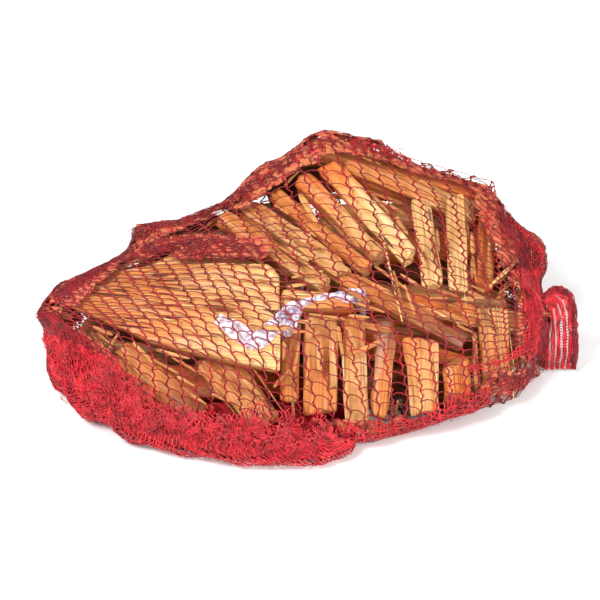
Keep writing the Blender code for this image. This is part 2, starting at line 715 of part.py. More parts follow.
def net_mesh(wood, strip):
    points = np.vstack((wood_samples(wood, SAMPLE_STEP), strip))
    skin = Skin(footprint(points))
    samples = skin.locate(points)
    base = wood_reach(skin.rays, wood, NET_CLEARANCE)
    slack = base.copy()
    for centre, radii in SLACK:
        slack = np.maximum(slack, ellipsoid_reach(skin.rays, centre, radii))
    floor = floor_reach(skin.rays, NET_THICKNESS)
    # The netting under the wood lies flat on the floor.
    slack = np.where(skin.spots[:, 2] == 0, floor, slack)
    inner = skin.taut(slack, samples, floor, 60, 0.5)
    slope = np.clip((skin.normals(inner) * skin.rays).sum(axis=1), 0.3, 1)
    outer = inner + NET_THICKNESS / slope
    bunched = outer.copy()
    for centre, radii in WAD:
        bunched = np.maximum(bunched, ellipsoid_reach(skin.rays, centre, radii))
    smooth = bunched.copy()
    for _ in range(4):
        smooth = smooth + (skin.average(smooth) - smooth) * 0.5
        smooth = np.maximum(smooth, np.maximum(outer, bunched * 0.985))
    outer = np.minimum(smooth, floor_reach(skin.rays, 0.0))

    gone = []
    for index, square in enumerate(skin.squares):
        spots = skin.spots[square]
        if (spots[:, 0] == CELLS[0]).all():
            rows = (spots[:, 1].min(), spots[:, 1].max())
            levels = (spots[:, 2].min(), spots[:, 2].max())
            if rows[0] >= MOUTH_ROWS[0] and rows[1] <= MOUTH_ROWS[1]:
                if levels[0] >= MOUTH_LEVELS[0] and levels[1] <= MOUTH_LEVELS[1]:
                    gone.append(index)
    rim = ordered_rim(skin.squares, gone)
    kept = np.delete(skin.squares, gone, axis=0)

    shape = bmesh.new()
    outside = [shape.verts.new(Vector(HEART + ray * far) * MM) for ray, far in zip(skin.rays, outer)]
    inside = [shape.verts.new(Vector(HEART + ray * far) * MM) for ray, far in zip(skin.rays, inner)]
    for square in kept:
        a, b, c, d = (int(corner) for corner in square)
        shape.faces.new((outside[a], outside[b], outside[c]))
        shape.faces.new((outside[a], outside[c], outside[d]))
        shape.faces.new((inside[c], inside[b], inside[a]))
        shape.faces.new((inside[d], inside[c], inside[a]))
    rings = [[outside[corner] for corner in rim]]
    for share, thickness in ((0.25, FLAP_THICKNESS), (0.85, FLAP_THICKNESS), (0.9, HEM_THICKNESS), (1.0, HEM_THICKNESS)):
        places = flap_ring(skin.spots, rim, share, thickness)
        rings.append([shape.verts.new(Vector(place) * MM) for place in places])
    for share, thickness in ((1.0, 2.4), (0.25, 2.4)):
        places = flap_ring(skin.spots, rim, share, thickness)
        rings.append([shape.verts.new(Vector(place) * MM) for place in places])
    rings.append([inside[corner] for corner in rim])
    for first, second in zip(rings, rings[1:]):
        for k in range(len(rim)):
            after = (k + 1) % len(rim)
            shape.faces.new((first[k], first[after], second[after], second[k]))
    spare = [vert for vert in shape.verts if not vert.link_faces]
    bmesh.ops.delete(shape, geom=spare, context="VERTS")
    bmesh.ops.recalc_face_normals(shape, faces=shape.faces)
    bmesh.ops.triangulate(shape, faces=[face for face in shape.faces if len(face.verts) > 3])
    mesh = bpy.data.meshes.new("net_bag")
    shape.to_mesh(mesh)
    shape.free()
    for face in mesh.polygons:
        face.use_smooth = True
    return mesh


def centre_nodes():
    """Moves everything so that the middle of its footprint box is the origin."""
    nodes = list(bpy.context.scene.collection.objects)
    places = np.array([vert.co for node in nodes for vert in node.data.vertices])
    middle = (places.min(axis=0) + places.max(axis=0)) / 2
    shift = Matrix.Translation((-middle[0], -middle[1], 0))
    for node in nodes:
        node.data.transform(shift)


def main():
    clear_scene()
    wood = build_wood()
    for name, solid in wood.items():
        add_node(name, solid.mesh(name), COLOURS["wood"], 0.7)
    under = strip_points(wood)
    add_node("plastic_strip", strip_mesh(under), COLOURS["plastic"], 0.2)
    mesh = net_mesh(wood, strip_samples(under))
    add_node("net_bag", mesh, COLOURS["net"], 0.45)
    centre_nodes()


main()
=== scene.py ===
import itertools
import math

import bpy
import numpy as np
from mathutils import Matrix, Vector
from mathutils.bvhtree import BVHTree


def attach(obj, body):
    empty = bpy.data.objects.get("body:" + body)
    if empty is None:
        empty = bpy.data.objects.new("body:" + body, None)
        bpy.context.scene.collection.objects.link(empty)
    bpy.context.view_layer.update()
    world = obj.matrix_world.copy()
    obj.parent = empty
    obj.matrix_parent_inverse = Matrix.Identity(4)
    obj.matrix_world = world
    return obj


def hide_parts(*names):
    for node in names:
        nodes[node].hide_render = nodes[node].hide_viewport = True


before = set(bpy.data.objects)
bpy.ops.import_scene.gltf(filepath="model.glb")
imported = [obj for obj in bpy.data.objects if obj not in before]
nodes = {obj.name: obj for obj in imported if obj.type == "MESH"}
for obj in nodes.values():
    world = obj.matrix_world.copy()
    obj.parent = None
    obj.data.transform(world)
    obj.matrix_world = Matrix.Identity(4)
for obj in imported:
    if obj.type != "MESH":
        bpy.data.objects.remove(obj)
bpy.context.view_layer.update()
mm = 0.001
print("frame loaded with", len(nodes), "nodes")

# The CAD was designed with its heart at (0, 22, 58) mm and then moved so that its footprint is centred.
designShift = np.array((-1.407, -20.067, 0.0))


def latticeValue(cell, seed):
    # Scatters the four whole numbers over one of 32 bits and takes its last half as a value from -1 to 1.
    key = cell[..., 0] * 374761393 + cell[..., 1] * 668265263 + cell[..., 2] * 2147483647 + seed * 974711
    key = key & 0xFFFFFFFF
    key = ((key ^ (key >> 13)) * 1274126177) & 0xFFFFFFFF
    return ((key ^ (key >> 16)) & 0xFFFF) / 32767.5 - 1


def softNoise(points, seed=0):
    points = np.asarray(points, float)
    cell = np.floor(points).astype(np.int64)
    part = points - cell
    ease = part * part * (3 - 2 * part)
    total = np.zeros(points.shape[:-1])
    for corner in itertools.product((0, 1), repeat=3):
        weight = np.prod(np.where(np.array(corner) == 1, ease, 1 - ease), axis=-1)
        total += weight * latticeValue(cell + np.array(corner), seed)
    return total


def noiseAt(first, second, third=0.0, seed=0):
    shape = np.broadcast(first, second, third)
    return softNoise(np.stack([np.broadcast_to(part, shape.shape) for part in (first, second, third)], axis=-1), seed)


def smoothStep(low, high, value):
    share = np.clip((value - low) / (high - low), 0, 1)
    return share * share * (3 - 2 * share)


def meshFrom(name, points, quads, triangles=None):
    mesh = bpy.data.meshes.new(name)
    points = np.asarray(points, np.float32) * mm
    quads = np.asarray(quads, np.int32).reshape(-1, 4)
    triangles = np.zeros((0, 3), np.int32) if triangles is None else np.asarray(triangles, np.int32).reshape(-1, 3)
    mesh.vertices.add(len(points))
    mesh.vertices.foreach_set("co", points.ravel())
    mesh.loops.add(quads.size + triangles.size)
    mesh.loops.foreach_set("vertex_index", np.concatenate((quads.ravel(), triangles.ravel())))
    mesh.polygons.add(len(quads) + len(triangles))
    starts = np.concatenate((np.arange(len(quads)) * 4, quads.size + np.arange(len(triangles)) * 3))
    mesh.polygons.foreach_set("loop_start", starts.astype(np.int32))
    mesh.update(calc_edges=True)
    mesh.validate()
    mesh.polygons.foreach_set("use_smooth", np.ones(len(mesh.polygons), bool))
    return mesh


def addPiece(name, mesh, material, replaced=()):
    piece = bpy.data.objects.new(name, mesh)
    bpy.context.scene.collection.objects.link(piece)
    mesh.materials.append(material)
    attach(piece, "root")
    if replaced:
        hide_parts(*replaced)
    return piece


def setValues(mesh, **fields):
    # One value, place or colour for each point.
    for name, values in fields.items():
        values = np.asarray(values, np.float32)
        kinds = {1: ("FLOAT", "value"), 3: ("FLOAT_VECTOR", "vector"), 4: ("FLOAT_COLOR", "color")}
        kind, field = kinds[values[0].size]
        mesh.attributes.new(name, kind, "POINT")
        mesh.attributes[name].data.foreach_set(field, values.ravel())


def linear(red, green, blue):
    parts = np.array((red, green, blue)) / 255
    return tuple(float(part) for part in np.where(parts > 0.04, ((parts + 0.055) / 1.055) ** 2.4, parts / 12.92))


def unit(ways):
    # Of length one along the last axis.
    return ways / np.maximum(np.linalg.norm(ways, axis=-1, keepdims=True), 1e-9)


class Wire:
    def __init__(self, tree, socket):
        self.tree = tree
        self.socket = socket

    @staticmethod
    def make(tree, kind, settings=None, sockets=None, out=0):
        node = tree.nodes.new(kind)
        for key, value in (settings or {}).items():
            if key == "stops":
                ramp = node.color_ramp
                while len(ramp.elements) < len(value):
                    ramp.elements.new(0.5)
                for element, (place, colour) in zip(ramp.elements, value):
                    element.position = place
                    element.color = (*colour, 1)
            else:
                setattr(node, key, value)
        for key, value in (sockets or {}).items():
            if isinstance(value, Wire):
                tree.links.new(value.socket, node.inputs[key])
            else:
                node.inputs[key].default_value = value
        return Wire(tree, node.outputs[out])

    def node(self, kind, settings=None, sockets=None, out=0):
        return Wire.make(self.tree, kind, settings, sockets, out)

    @staticmethod
    def value(tree, name, out):
        return Wire.make(tree, "ShaderNodeAttribute", {"attribute_name": name}, out=out)

    def noise(self, stretch, detail=2.0, out="Fac", **settings):
        # Noise of this place, finer where it is stretched more.
        place = self.stretched(stretch) if isinstance(stretch, tuple) else self
        scale = 1.0 if isinstance(stretch, tuple) else stretch
        sockets = {"Vector": place, "Scale": scale, "Detail": detail, **settings}
        return self.node("ShaderNodeTexNoise", sockets=sockets, out=out)

    def bump(self, strength, distance):
        sockets = {"Strength": strength, "Distance": distance, "Height": self}
        return self.node("ShaderNodeBump", sockets=sockets, out="Normal")

    def maths(self, operation, other=0.0, swap=False, clamp=False):
        pair = (other, self) if swap else (self, other)
        return self.node("ShaderNodeMath", {"operation": operation, "use_clamp": clamp}, {0: pair[0], 1: pair[1]})

    def __add__(self, other):
        return self.maths("ADD", other)

    def __sub__(self, other):
        return self.maths("SUBTRACT", other)

    def __mul__(self, other):
        return self.maths("MULTIPLY", other)

    def __pow__(self, other):
        return self.maths("POWER", other)

    def __rsub__(self, other):
        return self.maths("SUBTRACT", other, swap=True)

    __radd__ = __add__
    __rmul__ = __mul__

    def clamped(self):
        return self.maths("ADD", 0.0, clamp=True)

    def between(self, low, high):
        return self.node("ShaderNodeMapRange", {"interpolation_type": "SMOOTHSTEP"},
                         {"Value": self, "From Min": low, "From Max": high, "To Min": 0.0, "To Max": 1.0})

    def stretched(self, scale):
        return self.node("ShaderNodeVectorMath", {"operation": "MULTIPLY"}, {0: self, 1: scale})

    def mixed(self, other, share, blend="MIX"):
        settings = {"data_type": "RGBA", "blend_type": blend}
        return self.node("ShaderNodeMix", settings, {0: share, 6: self, 7: other}, out=2)


def startMaterial(name):
    material = bpy.data.materials.new(name)
    material.use_nodes = True
    material.node_tree.nodes.clear()
    return material, material.node_tree


def finishMaterial(tree, sockets):
    shader = Wire.make(tree, "ShaderNodeBsdfPrincipled", sockets=sockets)
    output = tree.nodes.new("ShaderNodeOutputMaterial")
    tree.links.new(shader.socket, output.inputs["Surface"])


def woodMaterial(name, look):
    material, tree = startMaterial(name)
    grain, tone = Wire.value(tree, "grain", "Vector"), Wire.value(tree, "tone", "Color")
    cut, bark = Wire.value(tree, "cut", "Fac"), Wire.value(tree, "bark", "Fac")
    bend = grain.noise((14, 60, 60), out="Color")
    swayed = grain.node("ShaderNodeVectorMath", {"operation": "MULTIPLY_ADD"},
                        {0: bend, 1: (0, 0.006, 0.006), 2: grain})
    fromPith = swayed.node("ShaderNodeVectorMath", {"operation": "ADD"}, {0: swayed, 1: look["pith"]})
    rings = grain.node("ShaderNodeTexWave", {"wave_type": "RINGS", "rings_direction": "X", "wave_profile": "SIN"},
                       {"Vector": fromPith, "Scale": look["rings"], "Distortion": 0.6, "Detail": 1.0}, out="Fac")
    fibres = grain.noise((26, 900, 900), 3.0, Roughness=0.6)
    streaks, patches, fissures = (grain.noise(stretch) for stretch in ((9, 150, 150), (18, 42, 42), (13, 330, 330)))
    dark = tone.mixed((0.62, 0.40, 0.26, 1), 1.0, "MULTIPLY")
    pale = tone.mixed((1.0, 0.93, 0.72, 1), 0.3)
    colour = tone.mixed(dark, (rings.between(0.55, 0.95) * 0.42).clamped())
    colour = colour.mixed(dark, (fibres.between(0.52, 0.74) * 0.55).clamped())
    colour = colour.mixed(pale, (streaks.between(0.5, 0.72) * 0.6).clamped())
    colour = colour.mixed(dark, (patches.between(0.50, 0.68) * look["stain"]).clamped())
    colour = colour.mixed((0.10, 0.035, 0.016, 1), (fissures.between(0.60, 0.70) * look["fissures"]).clamped())
    sawn = colour.mixed((0.30, 0.13, 0.05, 1), (rings.between(0.4, 0.9) * 0.5).clamped())
    barkColour = dark.mixed((0.045, 0.018, 0.010, 1), (fibres.between(0.35, 0.6) * 0.7 + 0.25).clamped())
    colour = colour.mixed(sawn, cut).mixed(barkColour, bark)
    relief = fibres * 0.6 + rings * 0.25 + streaks * 0.5
    finishMaterial(tree, {"Base Color": colour, "Roughness": (0.62 + fibres * 0.2).clamped(),
                          "Normal": relief.bump(0.55, 0.0012), "Specular IOR Level": 0.35})
    return material


def netMaterial(name, look, ragged=False):
    material, tree = startMaterial(name)
    shade = Wire.value(tree, "shade", "Fac")
    place = Wire.make(tree, "ShaderNodeTexCoord", out="Object")
    mottle, fine = place.noise(90.0), place.noise(520.0)
    deep = Wire.make(tree, "ShaderNodeRGB")
    deep.socket.default_value = (*look["deep"], 1)
    colour = deep.mixed((*look["bright"], 1), (shade * 0.7 + mottle.between(0.35, 0.7) * 0.45).clamped())
    # Pale flecks of painted sheen.
    colour = colour.mixed((*look["paintedSheen"], 1), (fine.between(0.60, 0.76) * look["paintedSheenShare"]).clamped())
    if "through" in look:
        # What lies behind the tangle shows through it in blotches, and dark blotches of painted shade lie in its
        # hollows.
        blotches, paintedShadeBlotches = place.noise((110, 170, 170), 3.0), place.noise((150, 210, 210), 3.0, Distortion=0.6)
        colour = colour.mixed((*look["through"], 1), (blotches.between(0.47, 0.56) * 0.85).clamped())
        colour = colour.mixed((*look["hollow"], 1), (paintedShadeBlotches.between(0.53, 0.62) * 0.85).clamped())
    sockets = {"Base Color": colour, "Roughness": (look["roughness"] + mottle * 0.12).clamped(),
               "Normal": fine.bump(0.5, 0.0008)}
    if ragged:
        cover = Wire.value(tree, "cover", "Fac")
        sockets["Alpha"] = (cover * 0.58 + place.noise(260.0) - 0.5).between(0.35, 0.42)
    finishMaterial(tree, sockets)
    return material


woodTones = {
    "cream": linear(236, 190, 124),
    "straw": linear(222, 164, 100),
    "tan": linear(216, 134, 70),
    "amber": linear(224, 120, 52),
    "rust": linear(168, 76, 42),
    "brown": linear(146, 84, 56),
    "dusk": linear(104, 50, 34),
}

# For each stick: its tone, the tone of its far end, how much of it is bark, and how rough it is split.
stickLooks = {
    # The wide board's cream far end, at its right, is a painted highlight.
    "wide_board": ("tan", "cream", 0.0, 0.7),
    "yellow_block": ("straw", "amber", 0.0, 0.6),
    "bright_stick": ("cream", "amber", 0.0, 0.7),
    "ridge_stick": ("tan", "amber", 0.0, 1.0),
    "second_ridge_stick": ("tan", "straw", 0.0, 1.0),
    "upper_stick_1": ("tan", "straw", 0.0, 1.0),
    "upper_stick_2": ("straw", "tan", 0.0, 1.0),
    "upper_stick_3": ("tan", "tan", 0.0, 1.2),
    "upper_stick_4": ("straw", "amber", 0.0, 1.0),
    "pale_stick_1": ("cream", "cream", 0.0, 0.8),
    "pale_stick_2": ("cream", "straw", 0.0, 0.9),
    "amber_stick": ("amber", "amber", 0.0, 0.8),
    "gap_stick": ("tan", "brown", 0.1, 1.2),
    "low_right_stick": ("amber", "straw", 0.0, 1.0),
    "back_left_stick": ("brown", "dusk", 0.3, 1.2),
    "left_back_stick": ("brown", "brown", 0.2, 1.2),
    "bark_billet": ("brown", "rust", 0.9, 1.0),
    "front_stick_1": ("tan", "straw", 0.0, 1.0),
    "front_stick_2": ("straw", "tan", 0.0, 1.0),
    "front_stick_3": ("tan", "brown", 0.0, 1.0),
    "front_stick_4": ("straw", "tan", 0.0, 0.9),
    "front_stick_5": ("amber", "tan", 0.0, 0.9),
    "front_stick_6": ("tan", "straw", 0.0, 0.8),
    "front_stick_7": ("tan", "brown", 0.0, 1.1),
    "low_tip_stick": ("brown", "cream", 0.1, 1.0),
    "under_board_stick_1": ("tan", "straw", 0.0, 1.2),
    "under_board_stick_2": ("straw", "tan", 0.0, 1.2),
    "under_board_stick_3": ("tan", "brown", 0.1, 1.2),
    "left_low_stick": ("brown", "rust", 0.1, 1.2),
    "long_splinter": ("cream", "cream", 0.0, 0.3),
    "short_splinter": ("cream", "cream", 0.0, 0.3),
}


def solidPlanes(node):
    mesh = node.data
    places = np.array([vert.co for vert in mesh.vertices]) / mm
    mesh.calc_loop_triangles()
    corners = np.array([tri.vertices for tri in mesh.loop_triangles])
    first, second, third = (places[corners[:, k]] for k in range(3))
    normal = np.cross(second - first, third - first)
    area = np.linalg.norm(normal, axis=1)
    keep = area > 0.02
    normal = normal[keep] / area[keep][:, None]
    offset = (normal * first[keep]).sum(axis=1)
    planes = []
    for way, far, size in zip(normal, offset, area[keep]):
        for plane in planes:
            if way @ plane[0] > 0.99999 and abs(far - plane[1]) < 0.05:
                plane[2] += size
                break
        else:
            planes.append([way, far, size])
    return places, planes


def grainWay(places, planes):
    # Of the long directions between corners, the one that the faces run along best.
    spread = places[:, None, :] - places[None, :, :]
    span = np.linalg.norm(spread, axis=2)
    longest = span.max()
    best = None
    for a, b in zip(*np.where(span > longest * 0.45)):
        if a >= b:
            continue
        way = spread[a, b] / span[a, b]
        cover = sum(abs(plane[0] @ way) * plane[2] for plane in planes)
        if best is None or cover < best[0]:
            best = (cover, way)
    way = best[1]
    return way if way[np.argmax(np.abs(way))] > 0 else -way


class Stick:
    # A convex solid read as faces along its grain and faces across it, so that it can be drawn in rings.
    def __init__(self, node, look, step, seed):
        self.look, self.seed = look, seed
        places, planes = solidPlanes(node)
        self.way = way = grainWay(places, planes)
        normals, offsets = (np.array([plane[k] for plane in planes]) for k in (0, 1))
        slope = normals @ way
        side = np.abs(slope) < 0.55
        self.sideNormals, self.sideOffsets = normals[side], offsets[side]
        self.endNormals, self.endOffsets, self.endSlopes = normals[~side], offsets[~side], slope[~side]
        up = Vector((0, 0, 1)) if abs(way[2]) < 0.8 else Vector((0, 1, 0))
        self.across = np.array(Vector(way).cross(up).normalized())
        self.over = np.cross(self.across, way)
        along = places @ way
        self.low, self.high = along.min(), along.max()
        self.layMiddleLine(places.mean(axis=0))
        self.spreadTurns(step)

    def reachOf(self, centres, turns, least):
        # How far the side faces are from these centres, in each direction round the grain.
        ways = np.cos(turns)[:, None] * self.across + np.sin(turns)[:, None] * self.over
        facing = ways @ self.sideNormals.T
        room = self.sideOffsets - centres @ self.sideNormals.T
        reach = np.where(facing > 1e-6, np.maximum(room, least) / np.maximum(facing, 1e-6), np.inf)
        return ways, np.minimum(reach, 90)

    def layMiddleLine(self, middle):
        # From the middles of a few sections.
        turns = np.linspace(0, 2 * math.pi, 73)[:-1]
        spare = (self.high - self.low) * 0.12
        self.stations = np.linspace(self.low + spare, self.high - spare, 5)
        middles = []
        for station in self.stations:
            centre = middle + self.way * (station - middle @ self.way)
            for _ in range(3):
                ways, reach = self.reachOf(centre, turns, 0.05)
                rim = ways * reach.min(axis=1)[:, None]
                flat = np.stack((rim @ self.across, rim @ self.over), axis=1)
                after = np.roll(flat, -1, axis=0)
                twice = flat[:, 0] * after[:, 1] - after[:, 0] * flat[:, 1]
                balance = ((flat + after) * twice[:, None]).sum(axis=0) / (3 * twice.sum())
                centre = centre + self.across * balance[0] + self.over * balance[1]
            middles.append(centre)
        self.lineStart, self.run = middles[0], middles[-1] - middles[0]

    def onLine(self, station):
        share = (np.asarray(station) - self.stations[0]) / (self.stations[-1] - self.stations[0])
        return self.lineStart + self.run * share[..., None]

    def spreadTurns(self, step):
        # Even steps round the middle section.
        fineTurns = np.linspace(0, 2 * math.pi, 721)[:-1]
        ways, reach = self.reachOf(self.onLine(np.array((self.low + self.high) / 2)), fineTurns, 0.05)
        rim = ways * reach.min(axis=1)[:, None]
        lengths = np.linalg.norm(np.roll(rim, -1, axis=0) - rim, axis=1)
        girth = lengths.sum()
        self.count = max(10, int(girth / step))
        self.rows = max(6, int((self.high - self.low) / (step * 1.35)))
        self.turns = np.interp(np.linspace(0, girth, self.count + 1)[:-1], np.concatenate(((0,), np.cumsum(lengths))),
                               np.append(fineTurns, 2 * math.pi))

    def sidePoint(self, station):
        # The faces at one station for each turn, their edges blunt in some places along the grain.
        centres, seed = self.onLine(station), self.seed
        ways, reach = self.reachOf(centres, self.turns, 0.3)
        nearest = reach.min(axis=1)
        wear = noiseAt(np.cos(self.turns) * 2 + seed, np.sin(self.turns) * 2, station / 16, seed + 21)
        blunt = 0.35 + 2.2 * smoothStep(-0.3, 0.5, wear)
        blunt = np.minimum(blunt * self.look[3], nearest * 0.16)[:, None]
        chipped = nearest - blunt[:, 0] * np.log(np.exp(-(reach - nearest[:, None]) / blunt).sum(axis=1))
        return centres, ways, np.maximum(chipped, nearest * 0.5)

    def endStation(self, lateral, far):
        # Where a line along the grain through the lateral offset leaves the solid.
        use = self.endSlopes > 0 if far else self.endSlopes < 0
        if not use.any():
            return np.full(len(lateral), self.high if far else self.low)
        room = (self.endOffsets[use][None, :] - lateral @ self.endNormals[use].T) / self.endSlopes[use][None, :]
        return np.minimum(room.min(axis=1), self.high) if far else np.maximum(room.max(axis=1), self.low)

    def rimStation(self, far):
        # Where each line of the sides meets the end faces, by halving.
        near = np.full(self.count, (self.low + self.high) / 2)
        away = np.full(self.count, self.high if far else self.low)
        for _ in range(26):
            trial = (near + away) / 2
            centres, ways, reach = self.sidePoint(trial)
            spots = centres + ways * reach[:, None]
            inside = ((spots @ self.endNormals.T) <= self.endOffsets[None, :] + 1e-6).all(axis=1)
            near, away = np.where(inside, trial, near), np.where(inside, away, trial)
        return near

    def relief(self, spots, station):
        # Depth, always inwards: long fibres, a wavy split face, torn strips, cracks and a side that leans in.
        seed, shift = self.seed, self.seed * 7.3
        sideways, upward = spots @ self.across, spots @ self.over

        def noise(wide, long, extra):
            return noiseAt(sideways / wide, upward / wide, station / long + shift, seed + extra)

        torn, crack = smoothStep(0.12, 0.22, noise(8, 85, 11)), smoothStep(0.34, 0.5, noise(4.5, 120, 15))
        lean = 2 * math.pi * noiseAt(station / 75, shift, 0.5, seed + 17)
        fibre, wave = 0.42 * (1 + noise(2.6, 55, 0)), 0.55 * (1 + noise(11, 70, 5))
        return self.look[3] * (fibre + wave + 1.5 * torn + 2.2 * crack + 0.8 * (1 + np.cos(self.turns - lean)))


def between(first, second):
    # The faces between two rings of points.
    return np.stack((first, np.roll(first, -1), np.roll(second, -1), second), axis=1)


def buildStick(name, node, look, step, seed):
    stick = Stick(node, look, step, seed)
    way, across, over, turns, count, rows = stick.way, stick.across, stick.over, stick.turns, stick.count, stick.rows
    low, high, rough, shift = stick.low, stick.high, look[3], seed * 7.3
    raggedStart = noiseAt(np.cos(turns) * 2.2 + shift, np.sin(turns) * 2.2, 3.1, seed)
    raggedEnd = noiseAt(np.cos(turns) * 2.2, np.sin(turns) * 2.2 + shift, 7.7, seed)
    start = stick.rimStation(False) + (1.9 + 1.9 * raggedStart) * rough
    finish = np.maximum(stick.rimStation(True) - (1.9 + 1.9 * raggedEnd) * rough, start + 2)
    points, cut = [], []
    for row, share in enumerate(np.linspace(0, 1, rows + 1)):
        station = start * (1 - share) + finish * share
        centres, ways, reach = stick.sidePoint(station)
        spots = centres + ways * reach[:, None]
        depth = np.minimum(stick.relief(spots, station), reach * 0.3) + (0.5 if row in (0, rows) else 0.0)
        points.append(spots - ways * depth[:, None])
        cut.append(np.zeros(count))
    rings = [np.arange(count) + row * count for row in range(rows + 1)]
    quads = [between(first, second) for first, second in zip(rings, rings[1:])]
    total = (rows + 1) * count
    triangles = []
    for far in (False, True):
        previous, rimSpots = (rings[-1], points[rows]) if far else (rings[0], points[0])
        centre, rimAlong = rimSpots.mean(axis=0), rimSpots @ way
        lateral = rimSpots - centre
        lateral = lateral - (lateral @ way)[:, None] * way
        base = centre - (centre @ way) * way
        # The cap is sunk a little and its rim doubled, so that the edge of the cut stays sharp.
        for share in (0.995, 0.72, 0.42, 0.16):
            flat = base + lateral * share
            inset = (0.55 + 0.5 * noiseAt(flat @ across / 3, flat @ over / 3, shift, seed + 9)) * rough
            if share > 0.9:
                station = rimAlong
            elif far:
                station = np.minimum(stick.endStation(flat, far) - inset, rimAlong.max() + 0.2)
            else:
                station = np.maximum(stick.endStation(flat, far) + inset, rimAlong.min() - 0.2)
            points.append(flat + station[:, None] * way)
            cut.append(np.ones(count))
            row = np.arange(count) + total
            total += count
            quads.append(between(previous, row) if far else between(row, previous))
            previous = row
        points.append(points[-1].mean(axis=0)[None, :])
        cut.append(np.ones(1))
        first, second = (previous, np.roll(previous, -1)) if far else (np.roll(previous, -1), previous)
        triangles.append(np.stack((first, second, np.full(count, total)), axis=1))
        total += 1
    points, cut = np.vstack(points), np.concatenate(cut)
    mesh = meshFrom(name, points, np.vstack(quads), np.vstack(triangles))
    inAlong, inAcross, inOver = points @ way, points @ across, points @ over
    middle = stick.onLine((low + high) / 2 * np.ones(1))[0]
    wander = 0.12 * noiseAt(inAcross / 9, inOver / 9, inAlong / 40, seed)
    share = smoothStep(0.35, 1.0, (inAlong - low) / (high - low) + wander)
    tone = np.array(woodTones[look[0]]) * (1 - share[:, None]) + np.array(woodTones[look[1]]) * share[:, None]
    tone = tone * (1 + 0.08 * noiseAt(inAcross / 20, inOver / 20, seed * 3.7, seed))[:, None]
    barkNoise = noiseAt(inAcross / 16, inOver / 16, inAlong / 60, seed + 3)
    barkSide = look[2] * smoothStep(-0.2, 0.5, barkNoise + look[2] - 0.4)
    # Grain coordinates in metres, their origin different for every stick.
    grain = np.stack((inAlong + seed * 131, inAcross - middle @ across, inOver - middle @ over), axis=1) * mm
    setValues(mesh, grain=grain, cut=cut, tone=np.hstack((tone, np.ones((len(tone), 1)))), bark=barkSide * (1 - cut))
    return mesh


woodLooks = {
    "firm": {"pith": (0.0, 0.021, -0.034), "rings": 95.0, "stain": 0.5, "fissures": 0.55},
    "worn": {"pith": (0.0, -0.03, -0.02), "rings": 120.0, "stain": 0.7, "fissures": 0.75},
}
firmWood = woodMaterial("firmWood", woodLooks["firm"])
wornWood = woodMaterial("wornWood", woodLooks["worn"])
stickDetail = {"seen": 2.6, "hidden": 6.0, "splinter": 1.0}

woodNames = sorted(name for name in nodes if name not in ("net_bag", "plastic_strip"))
innerTones = ("tan", "straw", "amber", "brown", "straw")
stickCount = 0
for index, name in enumerate(woodNames):
    hidden = name.startswith("inner")
    innerBark = 0.3 if index % 4 == 0 else 0.0
    look = stickLooks.get(name) or (innerTones[index % 5], innerTones[(index * 3 + 1) % 5], innerBark, 1.2)
    step = stickDetail["splinter" if name.endswith("splinter") else ("hidden" if hidden else "seen")]
    mesh = buildStick(name + "_wood", nodes[name], look, step, index + 1)
    worn = hidden or look[0] in ("brown", "dusk")
    addPiece(name + "_wood", mesh, wornWood if worn else firmWood, (name,))
    stickCount += len(mesh.polygons)
print("wood:", len(woodNames), "sticks,", stickCount, "faces")


skinShape = {"heart": np.array((0.0, 22.0, 58.0)) + designShift, "halfLength": 255.0, "endHeight": 78.0, "step": 5.0,
             "clearance": 1.45, "rounds": 160, "floorHeight": 0.7}


def nominalTurns(path, step):
    # Even steps along a path of corners.
    path = np.array(path, float)
    lengths = np.linalg.norm(np.diff(path, axis=0), axis=1)
    along = np.concatenate(((0,), np.cumsum(lengths)))
    spots = np.linspace(0, along[-1], int(along[-1] / step) + 1)
    return np.stack([np.interp(spots, along, path[:, k]) for k in range(2)], axis=1)


class Skin:
    def __init__(self, look):
        self.heart = look["heart"]
        half, height = look["halfLength"], look["endHeight"]
        profile = nominalTurns(((-half, 0.5), (-half, height), (half, height), (half, 0.5)), look["step"])
        self.tilt = np.arctan2(profile[:, 1], profile[:, 0])
        ring = nominalTurns(((150, 0), (150, 90), (-150, 90), (-150, -57), (150, -57), (150, 0)), look["step"])
        turn = np.unwrap(np.arctan2(ring[:, 1], ring[:, 0]))
        self.turn = turn[:-1]
        self.longCount, self.roundCount = len(self.tilt), len(self.turn)
        tilt, turn = np.meshgrid(self.tilt, self.turn, indexing="ij")
        self.rays = np.stack((np.cos(tilt), np.sin(tilt) * np.cos(turn), np.sin(tilt) * np.sin(turn)), axis=2)

    def locate(self, points):
        offset = points - self.heart
        distance = np.linalg.norm(offset, axis=1)
        tilt = np.arccos(np.clip(offset[:, 0] / distance, -1, 1))
        turn = np.mod(np.arctan2(offset[:, 2], offset[:, 1]) - self.turn[0], 2 * math.pi) + self.turn[0]
        order = np.arange(self.longCount)
        along = np.interp(tilt, self.tilt[::-1], order[::-1])
        closed = np.append(self.turn, self.turn[0] + 2 * math.pi)
        around = np.interp(turn, closed, np.arange(self.roundCount + 1))
        return along, around, distance

    def average(self, reach):
        places = self.rays * reach[..., None]
        total = np.zeros_like(places)
        weight = np.zeros(reach.shape)
        for axis, shift in ((0, 1), (0, -1), (1, 1), (1, -1)):
            other = np.roll(places, shift, axis=axis)
            if axis == 0:
                edge = 0 if shift == 1 else -1
                other[edge] = places[edge]
            span = np.linalg.norm(other - places, axis=2)
            share = 1 / np.maximum(span, 2.5)
            total += other * share[..., None]
            weight += share
        return (total / weight[..., None] * self.rays).sum(axis=2)

    def normals(self, reach):
        places = self.rays * reach[..., None]
        alongWay = np.gradient(places, axis=0)
        roundWay = (np.roll(places, -1, axis=1) - np.roll(places, 1, axis=1)) / 2
        across = unit(np.cross(alongWay, roundWay))
        facing = (across * self.rays).sum(axis=2)
        return across * np.sign(facing + 1e-12)[..., None]


